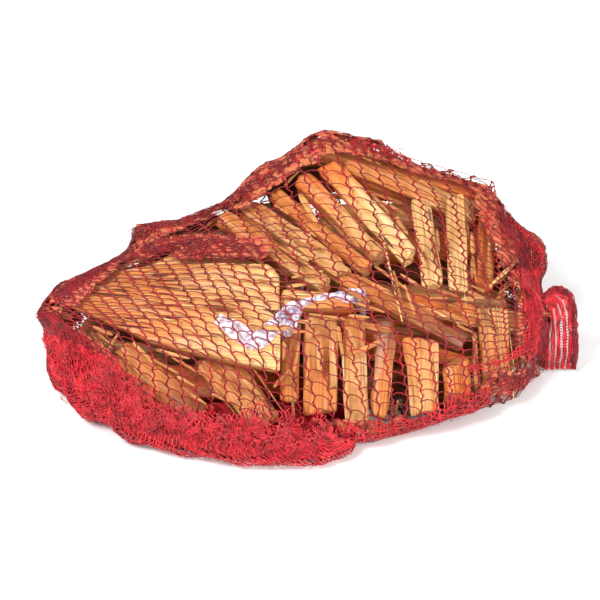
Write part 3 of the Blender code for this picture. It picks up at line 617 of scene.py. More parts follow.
skin = Skin(skinShape)
heart = skinShape["heart"]
netSolid = nodes["net_bag"].data
netTree = BVHTree.FromPolygons([vert.co for vert in netSolid.vertices],
                               [tuple(face.vertices) for face in netSolid.polygons])
start = Vector(heart * mm)
farOut = 600
inner, outer = np.full(skin.rays.shape[:2], np.nan), np.full(skin.rays.shape[:2], np.nan)
for cell in np.ndindex(inner.shape):
    ray = Vector(skin.rays[cell])
    hit, back = netTree.ray_cast(start, ray)[3], netTree.ray_cast(start + ray * farOut * mm, -ray)[3]
    if hit is not None:
        inner[cell] = hit / mm
    if back is not None:
        outer[cell] = farOut - back / mm
# At the right end the flap is left out and the skin closed with a flat cap.
mouthLook = {"from": 240 + designShift[0], "half": 40, "flapFrom": 247, "cap": 236.0, "farthest": 300}
sideX = np.nan_to_num(inner) * skin.rays[..., 0]
mouth = np.isnan(inner) | (sideX > mouthLook["from"]) & (np.abs(skin.rays[..., 1] * inner) < mouthLook["half"])
mouth |= np.nan_to_num(outer) * skin.rays[..., 0] > mouthLook["flapFrom"]
known = ~mouth
print("mouth rays", mouth.sum(), "of", mouth.size)
cap = np.minimum(mouthLook["cap"] / np.maximum(skin.rays[..., 0], 0.05), mouthLook["farthest"])
fillInner = np.where(known, inner, cap)
outer = np.where(known, outer, fillInner + 1.5)

# The wood that the net must clear: dense points along its edges.
samples = []
for name in woodNames:
    mesh = nodes[name].data
    places = np.array([vert.co for vert in mesh.vertices]) / mm
    mesh.calc_loop_triangles()
    seen = set()
    for tri in mesh.loop_triangles:
        ring = tuple(tri.vertices)
        for a, b in zip(ring, ring[1:] + ring[:1]):
            if (min(a, b), max(a, b)) in seen:
                continue
            seen.add((min(a, b), max(a, b)))
            count = max(2, int(np.linalg.norm(places[a] - places[b]) / 1.6))
            share = np.linspace(0, 1, count)[:, None]
            samples.append(places[a] * (1 - share) + places[b] * share)
samples.append(np.array([vert.co for vert in nodes["plastic_strip"].data.vertices]) / mm)
samples = np.vstack(samples)
sampleAlong, sampleRound, sampleFar = skin.locate(samples)
lowI = np.clip(np.floor(sampleAlong).astype(int), 0, skin.longCount - 2)
lowJ = np.floor(sampleRound).astype(int) % skin.roundCount
partI, partJ = sampleAlong - lowI, sampleRound - np.floor(sampleRound)
nextJ = (lowJ + 1) % skin.roundCount
cornerI = np.stack((lowI, lowI + 1, lowI, lowI + 1), axis=1)
cornerJ = np.stack((lowJ, lowJ, nextJ, nextJ), axis=1)
cornerWeight = np.stack(((1 - partI) * (1 - partJ), partI * (1 - partJ), (1 - partI) * partJ, partI * partJ), axis=1)
needed = sampleFar + skinShape["clearance"]


def pushOut(reach, rounds):
    # Moves the skin out where wood would come through it.
    for _ in range(rounds):
        short = (cornerWeight / reach[cornerI, cornerJ]).sum(axis=1) * needed
        bad = short > 1.0002
        if not bad.any():
            break
        wanted = reach[cornerI[bad], cornerJ[bad]] * short[bad][:, None]
        wanted = np.where(cornerWeight[bad] > 0.05, wanted, 0)
        np.maximum.at(reach, (cornerI[bad], cornerJ[bad]), wanted)
        np.minimum(reach, ceiling, out=reach)
    return reach


falling = skin.rays[..., 2] < -1e-6
ceiling = np.where(falling, (heart[2] - skinShape["floorHeight"]) / np.maximum(-skin.rays[..., 2], 1e-6), 1e6)
# The CAD skin's own slack is kept by not pulling in further than this.
slackFloor = np.minimum(np.where(known, inner - 1.0, 0), ceiling)
onFloor = known & (inner * skin.rays[..., 2] + heart[2] < 1.6)
reach = np.minimum(fillInner + 0.6, ceiling)
for _ in range(skinShape["rounds"]):
    reach = reach + (skin.average(reach) - reach) * 0.5
    low = np.where(onFloor, ceiling, slackFloor)
    reach = np.minimum(np.maximum(reach, low), ceiling)
    reach = pushOut(reach, 1)
reach = pushOut(reach, 30)
wadReach = np.maximum(outer, reach + 0.8)
for _ in range(10):
    wadReach = np.maximum(wadReach + (skin.average(wadReach) - wadReach) * 0.5, reach + 0.8)
wadReach = np.minimum(wadReach, ceiling + 0.4)
print("skin", skin.longCount, "x", skin.roundCount, "reach", reach.min().round(1), reach.max().round(1))


class Weave:
    # Lays out the netting on a skin: u counts the chains along the bag, v counts the rows round it.
    def __init__(self, reach, chainStep, rowStep, look):
        places = heart + skin.rays * reach[..., None]
        normals = skin.normals(reach)
        spans = np.linalg.norm(np.diff(places, axis=0), axis=2)
        along = np.vstack((np.zeros((1, skin.roundCount)), np.cumsum(spans, axis=0)))
        crossings = []
        for spot, turn in ((look["leftSpot"], look["leftTurn"]), (look["rightSpot"], look["rightTurn"])):
            side = (places[..., :2] - np.array(spot)) @ np.array((math.cos(turn), math.sin(turn)))
            line = np.zeros(skin.roundCount)
            for j in range(skin.roundCount):
                later = np.argmax(side[:, j] < 0) if side[0, j] > 0 else np.argmax(side[:, j] > 0)
                before = max(later - 1, 0)
                share = side[before, j] / (side[before, j] - side[later, j] + 1e-9)
                line[j] = along[before, j] * (1 - share) + along[later, j] * share
            for _ in range(12):
                line = (np.roll(line, 1) + np.roll(line, -1) + 2 * line) / 4
            crossings.append(line)
        left, right = crossings
        between = (right - left).mean() / chainStep
        middle = (along - left) / (right - left) * between
        count = np.where(along < right, middle, between + (along - right) / chainStep)
        count = np.where(along < left, (along - left) / (chainStep * look["leftGather"]), count)
        ringLength = np.linalg.norm(np.roll(places, -1, axis=1) - places, axis=2)
        core = ringLength[int(skin.longCount * 0.3):int(skin.longCount * 0.7)].mean(axis=0)
        rows = np.concatenate(((0,), np.cumsum(core))) / rowStep
        self.rowTotal = rows[-1]
        self.rows = rows
        self.uLow, self.uHigh = count.min(), count.max()
        self.uStep = 0.25
        grid = np.arange(self.uLow, self.uHigh + self.uStep, self.uStep)
        self.table = np.full((skin.roundCount, len(grid), 6), np.nan)
        both = np.concatenate((places, normals), axis=2)
        for j, k in np.ndindex(skin.roundCount, 6):
            self.table[j, :, k] = np.interp(grid, count[:, j], both[:, j, k], left=np.nan, right=np.nan)

    def at(self, u, v):
        u, v = np.asarray(u, float), np.mod(np.asarray(v, float), self.rowTotal)
        around = np.interp(v, self.rows, np.arange(skin.roundCount + 1))
        m = np.clip((u - self.uLow) / self.uStep, 0, self.table.shape[1] - 1.001)
        outside = (u < self.uLow) | (u > self.uHigh)
        m0, j0 = np.floor(m).astype(int), np.floor(around).astype(int)
        pm, pj = (m - m0)[..., None], (around - j0)[..., None]
        j0 = j0 % skin.roundCount
        j1 = (j0 + 1) % skin.roundCount
        value = (self.table[j0, m0] * (1 - pm) + self.table[j0, m0 + 1] * pm) * (1 - pj)
        value = value + (self.table[j1, m0] * (1 - pm) + self.table[j1, m0 + 1] * pm) * pj
        value[outside] = np.nan
        return value[..., :3], unit(value[..., 3:])


class YarnMesh:
    # Gathers flat tubes into one mesh. Each run is a line of points with the normal of the skin at them.
    sides = 3

    def __init__(self):
        self.points, self.quads, self.shade = [], [], []
        self.total = 0

    def add(self, line, normal, wide, thick, shade=0.5):
        good = np.isfinite(line).all(axis=1)
        if good.sum() < 2:
            return
        edges = np.flatnonzero(np.diff(np.concatenate(((0,), good.astype(int), (0,)))))
        for a, b in zip(edges[::2], edges[1::2]):
            if b - a >= 2:
                self.addMany(line[None, a:b], normal[None, a:b], wide, thick, np.array((shade,)))

    def addMany(self, lines, normals, wide, thick, shades):
        # Runs of one length at once: lines is runs x points x 3.
        good = np.isfinite(lines).all(axis=(1, 2))
        lines, normals, shades = lines[good], normals[good], shades[good]
        if not len(lines):
            return
        way = unit(np.gradient(lines, axis=1))
        across = unit(np.cross(normals, way))
        out = np.cross(way, across)
        turns = np.linspace(0, 2 * math.pi, self.sides + 1)[:-1]
        ring = (np.cos(turns)[None, None, :, None] * across[:, :, None, :] * wide / 2
                + np.sin(turns)[None, None, :, None] * out[:, :, None, :] * thick / 2)
        points = (lines[:, :, None, :] + ring).reshape(-1, 3)
        runs, n, s = lines.shape[0], lines.shape[1], self.sides
        first = np.arange(n - 1)[:, None] * s + np.arange(s)[None, :]
        after = np.arange(n - 1)[:, None] * s + (np.arange(s)[None, :] + 1) % s
        one = np.stack((first, after, after + s, first + s), axis=2).reshape(-1, 4)
        quads = (one[None] + np.arange(runs)[:, None, None] * n * s).reshape(-1, 4) + self.total
        self.points.append(points)
        self.quads.append(quads)
        self.shade.append(np.repeat(shades, n * s))
        self.total += len(points)

    def finish(self, name):
        mesh = meshFrom(name, np.vstack(self.points), np.vstack(self.quads))
        places = np.vstack(self.points)
        # Each yarn's shade is mottled by noise into small spots of painted highlight and painted shade.
        mottled = np.concatenate(self.shade) * 0.6 + 0.2
        mottled = mottled + 0.45 * softNoise(places / 3.5, 17) + 0.25 * softNoise(places / 10, 18)
        setValues(mesh, shade=np.clip(mottled, 0, 1))
        return mesh

    def addPiece(self, name, material, replaced=()):
        mesh = self.finish(name)
        print(name, len(mesh.polygons), "faces")
        return addPiece(name, mesh, material, replaced)


def layNet(yarns, weave, look, keep=None, seed=0):
    # Chains run round the bag, and the cross yarns zigzag from chain to chain.
    uFirst, uLast = math.ceil(weave.uLow), math.floor(weave.uHigh)

    def warped(u, v):
        wobble = look["wobble"]
        du = wobble * noiseAt(u / 3.1, v / 4.7, seed + 0.5, seed)
        dv = wobble * 1.3 * noiseAt(u / 2.3, v / 3.3, seed + 3.5, seed + 1)
        return u + du, v + dv

    def place(u, v, lift):
        spots, normal = weave.at(*warped(u, v))
        if keep is not None:
            spots = np.where(keep(spots)[:, None], spots, np.nan)
        return spots + normal * lift[:, None], normal

    rowCount = int(weave.rowTotal)
    stretch = weave.rowTotal / rowCount
    for k in range(uFirst, uLast + 1):
        v = np.arange(0, rowCount * look["steps"] + 1) / look["steps"]
        pull = look["zigzag"] * (np.abs(np.mod(v + 0.5, 1) - 0.5) * 4 - 1)
        for strand in (0, 1):
            phase = v * 2 * math.pi + strand * math.pi
            u = k + pull + look["twist"] * np.cos(phase)
            line, normal = place(u, v * stretch, look["lift"] + look["twist"] * 8 * np.sin(phase))
            shade = 0.5 + 0.5 * noiseAt(k * 1.7, strand, 0.2, seed)
            yarns.add(line, normal, look["chainWide"], look["chainThick"], shade)
    share = np.linspace(0, 1, look["crossSteps"] + 1)
    k, row = np.meshgrid(np.arange(uFirst, uLast), np.arange(rowCount), indexing="ij")
    k, row = k.ravel()[:, None], row.ravel()[:, None]
    v = row + 0.5 * (k % 2) + look["slant"] * share + look["bow"] * 4 * share * (1 - share)
    spots, normal = weave.at(*warped(k + share, v * stretch))
    if keep is not None:
        spots = np.where(keep(spots)[..., None], spots, np.nan)
    shades = 0.5 + 0.5 * noiseAt(k[:, 0] * 0.7, row[:, 0] * 0.9, 0.4, seed + 2)
    yarns.addMany(spots + normal * look["lift"], normal, look["crossWide"], look["crossThick"], shades)


# The main netting's reds are darker than the bunched netting's though it is the same yarn: painted shade.
netReds = {
    "net": {"deep": linear(88, 4, 14), "bright": linear(172, 14, 30), "paintedSheen": linear(250, 120, 130),
            "paintedSheenShare": 0.25, "roughness": 0.38},
    "bunched": {"deep": linear(120, 4, 14), "bright": linear(236, 34, 50), "paintedSheen": linear(255, 150, 140),
                "paintedSheenShare": 0.5, "roughness": 0.34},
    "fold": {"deep": linear(120, 26, 20), "bright": linear(206, 84, 60), "paintedSheen": linear(236, 160, 124),
             "paintedSheenShare": 0.5, "roughness": 0.6, "through": linear(196, 112, 66), "hollow": linear(78, 14, 14)},
    "core": {"deep": linear(96, 4, 14), "bright": linear(214, 26, 42), "paintedSheen": linear(236, 120, 110),
             "paintedSheenShare": 0.5, "roughness": 0.55},
}
shadedNetTape, bunchedTape = (netMaterial(name + "Tape", netReds[name]) for name in ("net", "bunched"))
coreTape, foldTape = (netMaterial(name + "Tape", netReds[name], ragged=True) for name in ("core", "fold"))

# The chains cross the bag at these two spots with these turns, and lie closer left of the first.
weaveLook = {"leftTurn": math.radians(25), "leftSpot": (-60.0, 0.0), "rightTurn": math.radians(3),
             "rightSpot": (205.0, 0.0), "leftGather": 0.8}
mainLook = {"chainStep": 17.0, "rowStep": 10.5, "steps": 4, "wobble": 0.3, "zigzag": 0.09, "twist": 0.03, "lift": 0.0,
            "chainWide": 1.45, "chainThick": 1.0, "crossWide": 1.35, "crossThick": 0.6, "crossSteps": 3,
            "bow": -0.25, "slant": 0.35}

def netLayer(name, reach, look, turn, seed, material, keep=None, replaced=()):
    # One layer of netting on a skin, its chains turned by this many degrees at the left.
    yarns = YarnMesh()
    weave = Weave(reach, look["chainStep"], look["rowStep"], dict(weaveLook, leftTurn=math.radians(turn)))
    layNet(yarns, weave, look, keep, seed)
    return yarns.addPiece(name, material, replaced)


netLayer("netting", reach, mainLook, 25, 3, shadedNetTape, replaced=("net_bag",))

skinPlaces = heart + skin.rays * reach[..., None]

# Where the netting lies double or in folds: a line along the skin, how far it spreads, how thick it gets.
foldBands = {
    "backEdge": {"line": ((-230, -11, 91), (-197, 19, 100), (-173, 85, 87), (-151, 77, 111), (-105, 97, 112),
                  (-65, 86, 141), (-34, 104, 156), (-16, 116, 166), (5, 121, 173), (20, 125, 177)),
                  "spread": 17, "strength": 0.62, "bright": 0},
    "backRidge": {"line": ((20, 125, 177), (33, 123, 177), (58, 120, 172), (84, 126, 162), (104, 118, 155),
                  (142, 120, 144), (175, 110, 134), (185, 78, 127)), "spread": 9, "strength": 0.6, "bright": 0},
    "ridgeTuft": {"line": ((52, 126, 172), (84, 132, 163), (100, 126, 157)),
                  "spread": 11, "strength": 1.3, "bright": 1},
    "darkBand": {"line": ((-151, 49, 106), (-121, 40, 112), (-87, 23, 121), (-51, 11, 126)),
                  "spread": 20, "strength": 0.5, "bright": 0},
    "bulge": {"line": ((195, 82, 118), (212, 72, 106), (224, 58, 88), (212, 34, 90), (206, 50, 100)),
                  "spread": 34, "strength": 0.5, "bright": 0},
    "bulgeRim": {"line": ((201, 84, 113), (222, 70, 100), (232, 55, 80), (220, 30, 82)),
                  "spread": 11, "strength": 0.9, "bright": 1},
    "neck": {"line": ((208, 18, 92), (215, 16, 77), (213, -18, 66), (211, -36, 50)),
                  "spread": 19, "strength": 0.8, "bright": 1},
    "leftTip": {"line": ((-246, -13, 66), (-232, -31, 60), (-206, -52, 58), (-188, -60, 54)),
                  "spread": 16, "strength": 0.7, "bright": 0},
    "fringe": {"line": ((30, -137, 16), (71, -128, 10), (103, -118, 11), (131, -105, 18), (160, -94, 22)),
                  "spread": 25, "strength": 1.3, "bright": 1},
    "lowTip": {"line": ((176, -74, 34), (196, -66, 28), (210, -48, 18), (216, -40, 18)),
                  "spread": 12, "strength": 0.6, "bright": 0},
    "rightLine": {"line": ((149, -84, 60), (177, -66, 53), (204, -42, 51)),
                  "spread": 7, "strength": 0.7, "bright": 1},
}


def bandDensity(places, band, wider=1.0):
    line = np.array(band["line"], float)
    best = np.full(places.shape[:-1], np.inf)
    for a, b in zip(line, line[1:]):
        run = b - a
        share = np.clip(((places - a) @ run) / (run @ run), 0, 1)
        best = np.minimum(best, np.linalg.norm(places - a - share[..., None] * run, axis=-1))
    far = band["spread"] * wider
    return band["strength"] * (1 - smoothStep(far * 0.35, far, best))


allCorners, allFaces, faceSticks = [], [], []
for number, name in enumerate(woodNames):
    mesh = nodes[name].data
    first = len(allCorners)
    allCorners += [vert.co for vert in mesh.vertices]
    allFaces += [tuple(first + v for v in face.vertices) for face in mesh.polygons]
    faceSticks += [number] * len(mesh.polygons)
woodTree = BVHTree.FromPolygons(allCorners, allFaces)
gapBelow = np.zeros(reach.shape)
for cell in np.ndindex(reach.shape):
    hit = woodTree.ray_cast(Vector(skinPlaces[cell] * mm), Vector(-skin.rays[cell]))
    gapBelow[cell] = hit[3] / mm if hit[3] is not None else reach[cell]

densities = [np.zeros(reach.shape), np.zeros(reach.shape)]
for band in foldBands.values():
    densities[band["bright"]] = np.maximum(densities[band["bright"]], bandDensity(skinPlaces, band))
density = np.maximum(*densities)
# Where the skin stands off the wood in those bands the netting is tangled: how much wider than the band it
# lies, and the gaps under it where it starts and where it is full.
tangles = {"backEdge": (1.5, 6, 10), "backRidge": (1.7, 2.5, 6), "darkBand": (1.4, 4, 8), "bulge": (1.6, 4, 8),
           "leftTip": (0.9, 3, 7), "neck": (1.2, 4, 8), "lowTip": (1.5, 3, 7), "fringe": (1.0, 4, 8)}
hollow = np.zeros(reach.shape)
for name, (wider, fewest, fullest) in tangles.items():
    depth = 2.3 * smoothStep(fewest, fullest, gapBelow)
    hollow = np.maximum(hollow, bandDensity(skinPlaces, foldBands[name], wider) * depth)

# Where the heap is loose, light would come through the bag; the far side of the netting lies double there.
opening = {"from": Vector((-1.4, -1152.6, 892.9)), "sink": 4.0, "above": 6.0, "cover": 1.1}
outward = skin.normals(reach)
through = np.zeros(reach.shape)
for cell in np.ndindex(reach.shape):
    spot = Vector(skinPlaces[cell] - skin.rays[cell] * opening["sink"])
    sight = opening["from"] - spot
    if sight.dot(Vector(outward[cell])) < 0 and spot.z > opening["above"]:
        through[cell] = woodTree.ray_cast(spot * mm, sight)[0] is None
for axis in (0, 1):
    through = np.max([np.roll(through, shift, axis) for shift in (-1, 0, 1)], axis=0)
hollow = np.maximum(hollow, through * opening["cover"])

# The bunched foot: its upper edge, by how far along the bag it is.
wadLook = {"alongStops": (-262, -244, -232, -212, -187, -165, -144, -127, -113, -77, -31, 17, 34, 42, 50),
           "topStops": (36, 47, 55, 60, 62, 55, 50, 44, 42, 38, 38, 36, 33, 18, -30),
           "layers": (0.35, 0.7, 1.0), "crumple": 3.4,
           "net": {"chainStep": 5.2, "rowStep": 5.0, "steps": 2, "wobble": 1.5, "zigzag": 0.2, "twist": 0.03, "lift": 0.0,
                   "chainWide": 1.2, "chainThick": 0.8, "crossWide": 1.1, "crossThick": 0.7, "crossSteps": 2,
                   "bow": -0.3, "slant": 0.6}}
wadTop = np.interp(skinPlaces[..., 0], wadLook["alongStops"], wadLook["topStops"])
frontSide = smoothStep(-10, -34, skinPlaces[..., 1] - 0.25 * np.maximum(0, -180 - skinPlaces[..., 0]))
wadEdge = wadTop - skinPlaces[..., 2] + 7 * softNoise(skinPlaces / 14, 31)
wadShare = smoothStep(-6, 12, wadEdge) * frontSide
wadDepth = np.maximum(wadReach - reach, 0) * wadShare


def folds(seed):
    # Sharp ridges, longer along the bag than round it.
    long = softNoise(skinPlaces / np.array((26, 8, 8)), seed)
    return 0.8 - 1.6 * np.abs(long) + 0.6 * softNoise(skinPlaces / 6.5, seed + 1)


def keepAbove(field, limit, seed, ragged):
    # Says where the field on the skin is over a limit, with a ragged edge.
    def keep(spots):
        flat = np.nan_to_num(spots, nan=0.0).reshape(-1, 3) + 1e-6
        along, around, _ = skin.locate(flat)
        i = np.clip(np.round(along).astype(int), 0, skin.longCount - 1)
        value = field[i, np.round(around).astype(int) % skin.roundCount]
        rough = ragged * softNoise(flat / 7, seed) + ragged * softNoise(flat / 16, seed + 1)
        return (value + rough > limit).reshape(spots.shape[:-1])
    return keep


def finer(field, factor):
    # The same values on a grid with more steps both ways; round the bag it closes on itself.
    long = np.arange(0, skin.longCount - 1 + 1e-9, 1 / factor)
    low = np.minimum(np.floor(long).astype(int), skin.longCount - 2)
    part = (long - low).reshape((-1,) + (1,) * (field.ndim - 1))
    field = field[low] * (1 - part) + field[low + 1] * part
    around = np.arange(0, skin.roundCount, 1 / factor)
    low = np.floor(around).astype(int)
    part = (around - low).reshape((1, -1) + (1,) * (field.ndim - 2))
    return field[:, low] * (1 - part) + field[:, (low + 1) % skin.roundCount] * part


fineness = 3
fineRays = unit(finer(skin.rays, fineness))
fineBase, fineCeiling = finer(reach, fineness), finer(ceiling, fineness)
fineDepth, fineShare = finer(wadDepth, fineness), finer(wadShare, fineness)
finePlaces = heart + fineRays * fineBase[..., None]
fineIndex = np.arange(fineBase.size).reshape(fineBase.shape)
fineAfter = np.roll(fineIndex, -1, axis=1)
fineQuads = np.stack((fineIndex[:-1], fineAfter[:-1], fineAfter[1:], fineIndex[1:]), axis=2)


def foldedSheet(name, far, share, shade, limit, material):
    # A crumpled sheet of tangled netting where share is over the limit; its edge is ragged through cover.
    inside = (share > limit) & np.roll(share > limit, -1, axis=1)
    quads = fineQuads[inside[:-1] & inside[1:]]
    used, quads = np.unique(quads, return_inverse=True)
    mesh = meshFrom(name, (heart + fineRays * far[..., None]).reshape(-1, 3)[used], quads.reshape(-1, 4))
    setValues(mesh, shade=np.clip(shade, 0, 1).ravel()[used], cover=share.ravel()[used])
    print(name, len(mesh.polygons), "faces")
    addPiece(name, mesh, material)


creases = 1 - np.abs(softNoise(finePlaces / np.array((16, 7, 7)), 71)) * 2
creases += 0.6 * softNoise(finePlaces / 3.4, 73)
foldShare = np.clip(finer(hollow, fineness) + 0.2 * softNoise(finePlaces / 12, 33), 0, 1)
foldFar = np.minimum(fineBase - 1.4 + creases * 1.4, fineCeiling)
# The tangled sheet is darker in its crease valleys and lighter on its ridges: painted shade.
foldedSheet("tangled_net", foldFar, foldShare, 0.4 + 0.4 * creases, 0.5, foldTape)

doubleLook = {"chainStep": 9.0, "rowStep": 6.5, "steps": 2, "wobble": 0.8, "zigzag": 0.1, "twist": 0.03, "lift": 0.0,
              "chainWide": 1.2, "chainThick": 0.7, "crossWide": 1.1, "crossThick": 0.55, "crossSteps": 2,
              "bow": -0.2, "slant": 0.5}
# Dark or bright, from what density on, how far out, how much turned and in which netting; the dark netting is
# darkened with painted shade.
doubleLayers = ((0, 0.3, 1.1, 34, shadedNetTape), (0, 0.46, 2.0, 12, shadedNetTape),
                (1, 0.3, 1.3, 50, bunchedTape), (1, 0.5, 2.4, 20, bunchedTape))
for number, (bright, limit, lift, turn, tape) in enumerate(doubleLayers):
    share = densities[bright]
    layer = reach + lift * (0.4 + np.minimum(share, 1.3)) + folds(60 + number * 5) * 1.5 * np.minimum(share, 1.5)
    layer = np.minimum(np.maximum(layer, reach + 0.3), ceiling + 0.2)
    netLayer("doubled_net_%d" % (number + 1), layer, doubleLook, turn, 50 + number, tape,
             keepAbove(share, limit, number, 0.2))

for number, share in enumerate(wadLook["layers"]):
    layer = reach + wadDepth * share + folds(40 + number * 7) * wadLook["crumple"] * wadShare
    layer = np.minimum(np.maximum(layer, reach + 0.5), ceiling + 0.2)
    netLayer("bunched_net_%d" % (number + 1), layer, wadLook["net"], 10 + 22 * number, 20 + number, bunchedTape,
             keepAbove(wadShare, 0.35 + 0.1 * number, number, 0.22))

coreReach = fineBase + 0.4 + fineDepth * 0.8 + (creases * 1.7 - 0.6) * fineShare
coreReach = np.minimum(np.maximum(coreReach, fineBase + 0.3), fineCeiling)
# The core is darker in its crease valleys too: painted shade, with random mottle.
paintedCoreShade = 0.45 + 0.35 * creases + 0.25 * softNoise(finePlaces / 9, 5)
foldedSheet("bunched_core", coreReach, fineShare, paintedCoreShade, 0.12, coreTape)

# Loose ends and little loops over the bunched foot and the doubled edges.
loopLook = {"count": 1700, "steps": 4, "size": (1.2, 3.4), "wide": 0.85, "thick": 0.5, "stray": 60}
random = np.random.default_rng(5)
cellSize = np.linalg.norm(np.roll(skinPlaces, -1, axis=1) - skinPlaces, axis=2)
cellSize = cellSize * np.linalg.norm(np.gradient(skinPlaces, axis=0), axis=2)
weight = (np.clip(wadShare, 0, 1) ** 2 + 0.12 * np.clip(density - 0.4, 0, 1)) * cellSize * (skinPlaces[..., 2] > 1.5)
chosen = random.choice(weight.size, loopLook["count"], p=(weight / weight.sum()).ravel())
loopI, loopJ = np.unravel_index(chosen, weight.shape)
loopNormals = outward[loopI, loopJ]
loopDepth = np.maximum(wadDepth[loopI, loopJ], density[loopI, loopJ] * 2.5)
loopCentres = skinPlaces[loopI, loopJ] + random.uniform(-3, 3, (len(chosen), 3))
loopCentres = loopCentres + loopNormals * (loopDepth * random.uniform(0.75, 1.0, len(chosen)) + 0.8)[:, None]
firstWay = np.cross(loopNormals, random.normal(size=(len(chosen), 3)))
firstWay /= np.linalg.norm(firstWay, axis=1)[:, None]
secondWay = np.cross(loopNormals, firstWay) + loopNormals * random.uniform(-0.3, 0.35, len(chosen))[:, None]
radius = random.uniform(*loopLook["size"], len(chosen))
radius[:loopLook["stray"]] *= 1.7
bend = random.uniform(1.6, 4.4, len(chosen))
turn = bend[:, None] * np.linspace(-0.5, 0.5, loopLook["steps"] + 1)[None, :]
loopShape = np.sin(turn)[..., None] * firstWay[:, None] + (np.cos(turn) - 0.6)[..., None] * secondWay[:, None]
loopLines = loopCentres[:, None] + radius[:, None, None] * loopShape
loopLines[..., 2] = np.maximum(loopLines[..., 2], 0.6)
loops = YarnMesh()
loopNormals = np.repeat(loopNormals[:, None], loopLook["steps"] + 1, axis=1)
loops.addMany(loopLines, loopNormals, loopLook["wide"], loopLook["thick"], random.uniform(0.1, 1.0, len(chosen)))
loops.addPiece("loose_loops", bunchedTape)

# The mouth flap: its foot, how far it reaches, how it leans, and its rolled edge as shares of reach and height.
flapLook = {"foot": np.array((0.0, 6.0, 4.0)) + designShift * (0, 1, 0), "start": 229.0 + designShift[0],
            "reach": 262.0 + designShift[0], "lean": 0.42, "height": 80.0,
            "hemLine": ((0.0, 0.90), (0.22, 0.985), (0.5, 1.0), (0.78, 0.93), (0.93, 0.76), (1.0, 0.5),
                        (1.02, 0.25), (0.98, 0.0)),
            "stripes": (0.16, 0.33, 0.5, 0.67, 0.83), "links": 46}
flapUp = np.array((0, flapLook["lean"], 1.0)) / math.hypot(flapLook["lean"], 1)
flapOut = np.array((0, -1.0, flapLook["lean"])) / math.hypot(flapLook["lean"], 1)


def flapLine(nested, count):
    # A line of the flap from the neck over the top and down: nested is 1 at the hem and 0 at the bag.
    hem = np.array(flapLook["hemLine"])
    far = np.concatenate(((0,), np.cumsum(np.linalg.norm(np.diff(hem, axis=0), axis=1))))
    t = np.linspace(0, far[-1], count)
    share = np.interp(t, far, hem[:, 0]) * nested
    high = np.interp(t, far, hem[:, 1]) * (0.66 + 0.34 * nested) + 0.02 * noiseAt(nested * 9, 0.3, 0.2, 4)
    x = flapLook["start"] + (flapLook["reach"] - flapLook["start"]) * share
    rise = np.clip(high, 0, 1) * flapLook["height"]
    sway = 2.2 * noiseAt(x / 7, rise / 22, 0.0, 8)
    return flapLook["foot"] + x[:, None] * np.array((1.0, 0, 0)) + flapUp * rise[:, None] + flapOut * sway[:, None]


def bundle(yarns, line, out, width, depth, count, wide, seed):
    # Yarns that wander side by side along a line and make a crumpled band.
    across = unit(np.cross(out, unit(np.gradient(line, axis=0))))
    t = np.arange(len(line))
    for k in range(count):
        place = (k + 0.5) / count * 2 - 1
        side = place * 0.8 + 0.35 * noiseAt(t / 3.1, k * 1.7, 0.1, seed) + 0.2 * noiseAt(t / 1.3, k * 2.3, 0.7, seed)
        rise = np.sqrt(np.maximum(0, 1 - place ** 2)) * (0.5 + 0.5 * noiseAt(t / 2.7, k * 3.1, 0.9, seed + 1))
        rise = rise + 0.3 * noiseAt(t / 1.1, k, 0.4, seed)
        strand = line + across * (side * width / 2)[:, None] + out * (rise * depth)[:, None]
        shade = 0.5 + 0.5 * noiseAt(k * 1.9, 0.2, 0.2, seed)
        yarns.add(strand, np.tile(out, (len(line), 1)), wide, wide * 0.6, shade)


flapYarns = YarnMesh()
for number, nested in enumerate(flapLook["stripes"]):
    bundle(flapYarns, flapLine(nested, 60), flapOut, 4.2, 1.8, 8, 1.1, 90 + number)
lines = [flapLine(nested, flapLook["links"]) for nested in (0.02, *flapLook["stripes"], 1.0)]
for number, (first, second) in enumerate(zip(lines, lines[1:])):
    for row in range(1, flapLook["links"] - 1):
        share = np.linspace(0, 1, 4)[:, None]
        start, end = first[row], second[min(row + number % 2, flapLook["links"] - 1)]
        link = start * (1 - share) + end * share + flapUp * (np.sin(share * math.pi) * 1.4)
        flapYarns.add(link, np.tile(flapOut, (4, 1)), 1.2, 0.4, 0.5)
flapYarns.addPiece("mouth_flap", bunchedTape)

hemYarns = YarnMesh()
hemPath = flapLine(0.97, 90)
bundle(hemYarns, hemPath, flapOut, 7.0, 2.6, 13, 1.3, 120)
bundle(hemYarns, hemPath, -flapOut, 7.0, 2.0, 8, 1.3, 121)
hemYarns.addPiece("mouth_hem", shadedNetTape)

# The strip of clear film: its middle line seen from above and its widths along that line.
stripLook = {"line": ((-80, -36), (-64, -48), (-44, -62), (-27, -46), (-10, -31), (6, -24), (24, -20), (38, -19),
                      (56, -18)),
             "widths": (8, 14, 17, 15, 12, 4, 3, 14, 10), "steps": 150, "across": 16, "crumple": 1.3, "edge": 3.0,
             "above": 0.35}
stripLine = np.array(stripLook["line"], float) + designShift[:2]
spots = np.linspace(0, len(stripLine) - 1, stripLook["steps"] + 1)
middle = np.stack([np.interp(spots, range(len(stripLine)), stripLine[:, k]) for k in range(2)], axis=1)
widths = np.interp(spots, range(len(stripLine)), stripLook["widths"])
widths = widths + stripLook["edge"] * noiseAt(spots * 3.1, 0.2, 0.3, 2)
heading = unit(np.gradient(middle, axis=0))
sideways = np.stack((-heading[:, 1], heading[:, 0]), axis=1)
share = np.linspace(-0.5, 0.5, stripLook["across"] + 1)
stripGrid = middle[:, None] + sideways[:, None] * (share[None, :] * widths[:, None])[..., None]
heights = np.full(stripGrid.shape[:2], np.nan)
for place in np.ndindex(heights.shape):
    hit = woodTree.ray_cast(Vector((*stripGrid[place] * mm, 0.4)), Vector((0, 0, -1)))
    heights[place] = hit[0][2] / mm
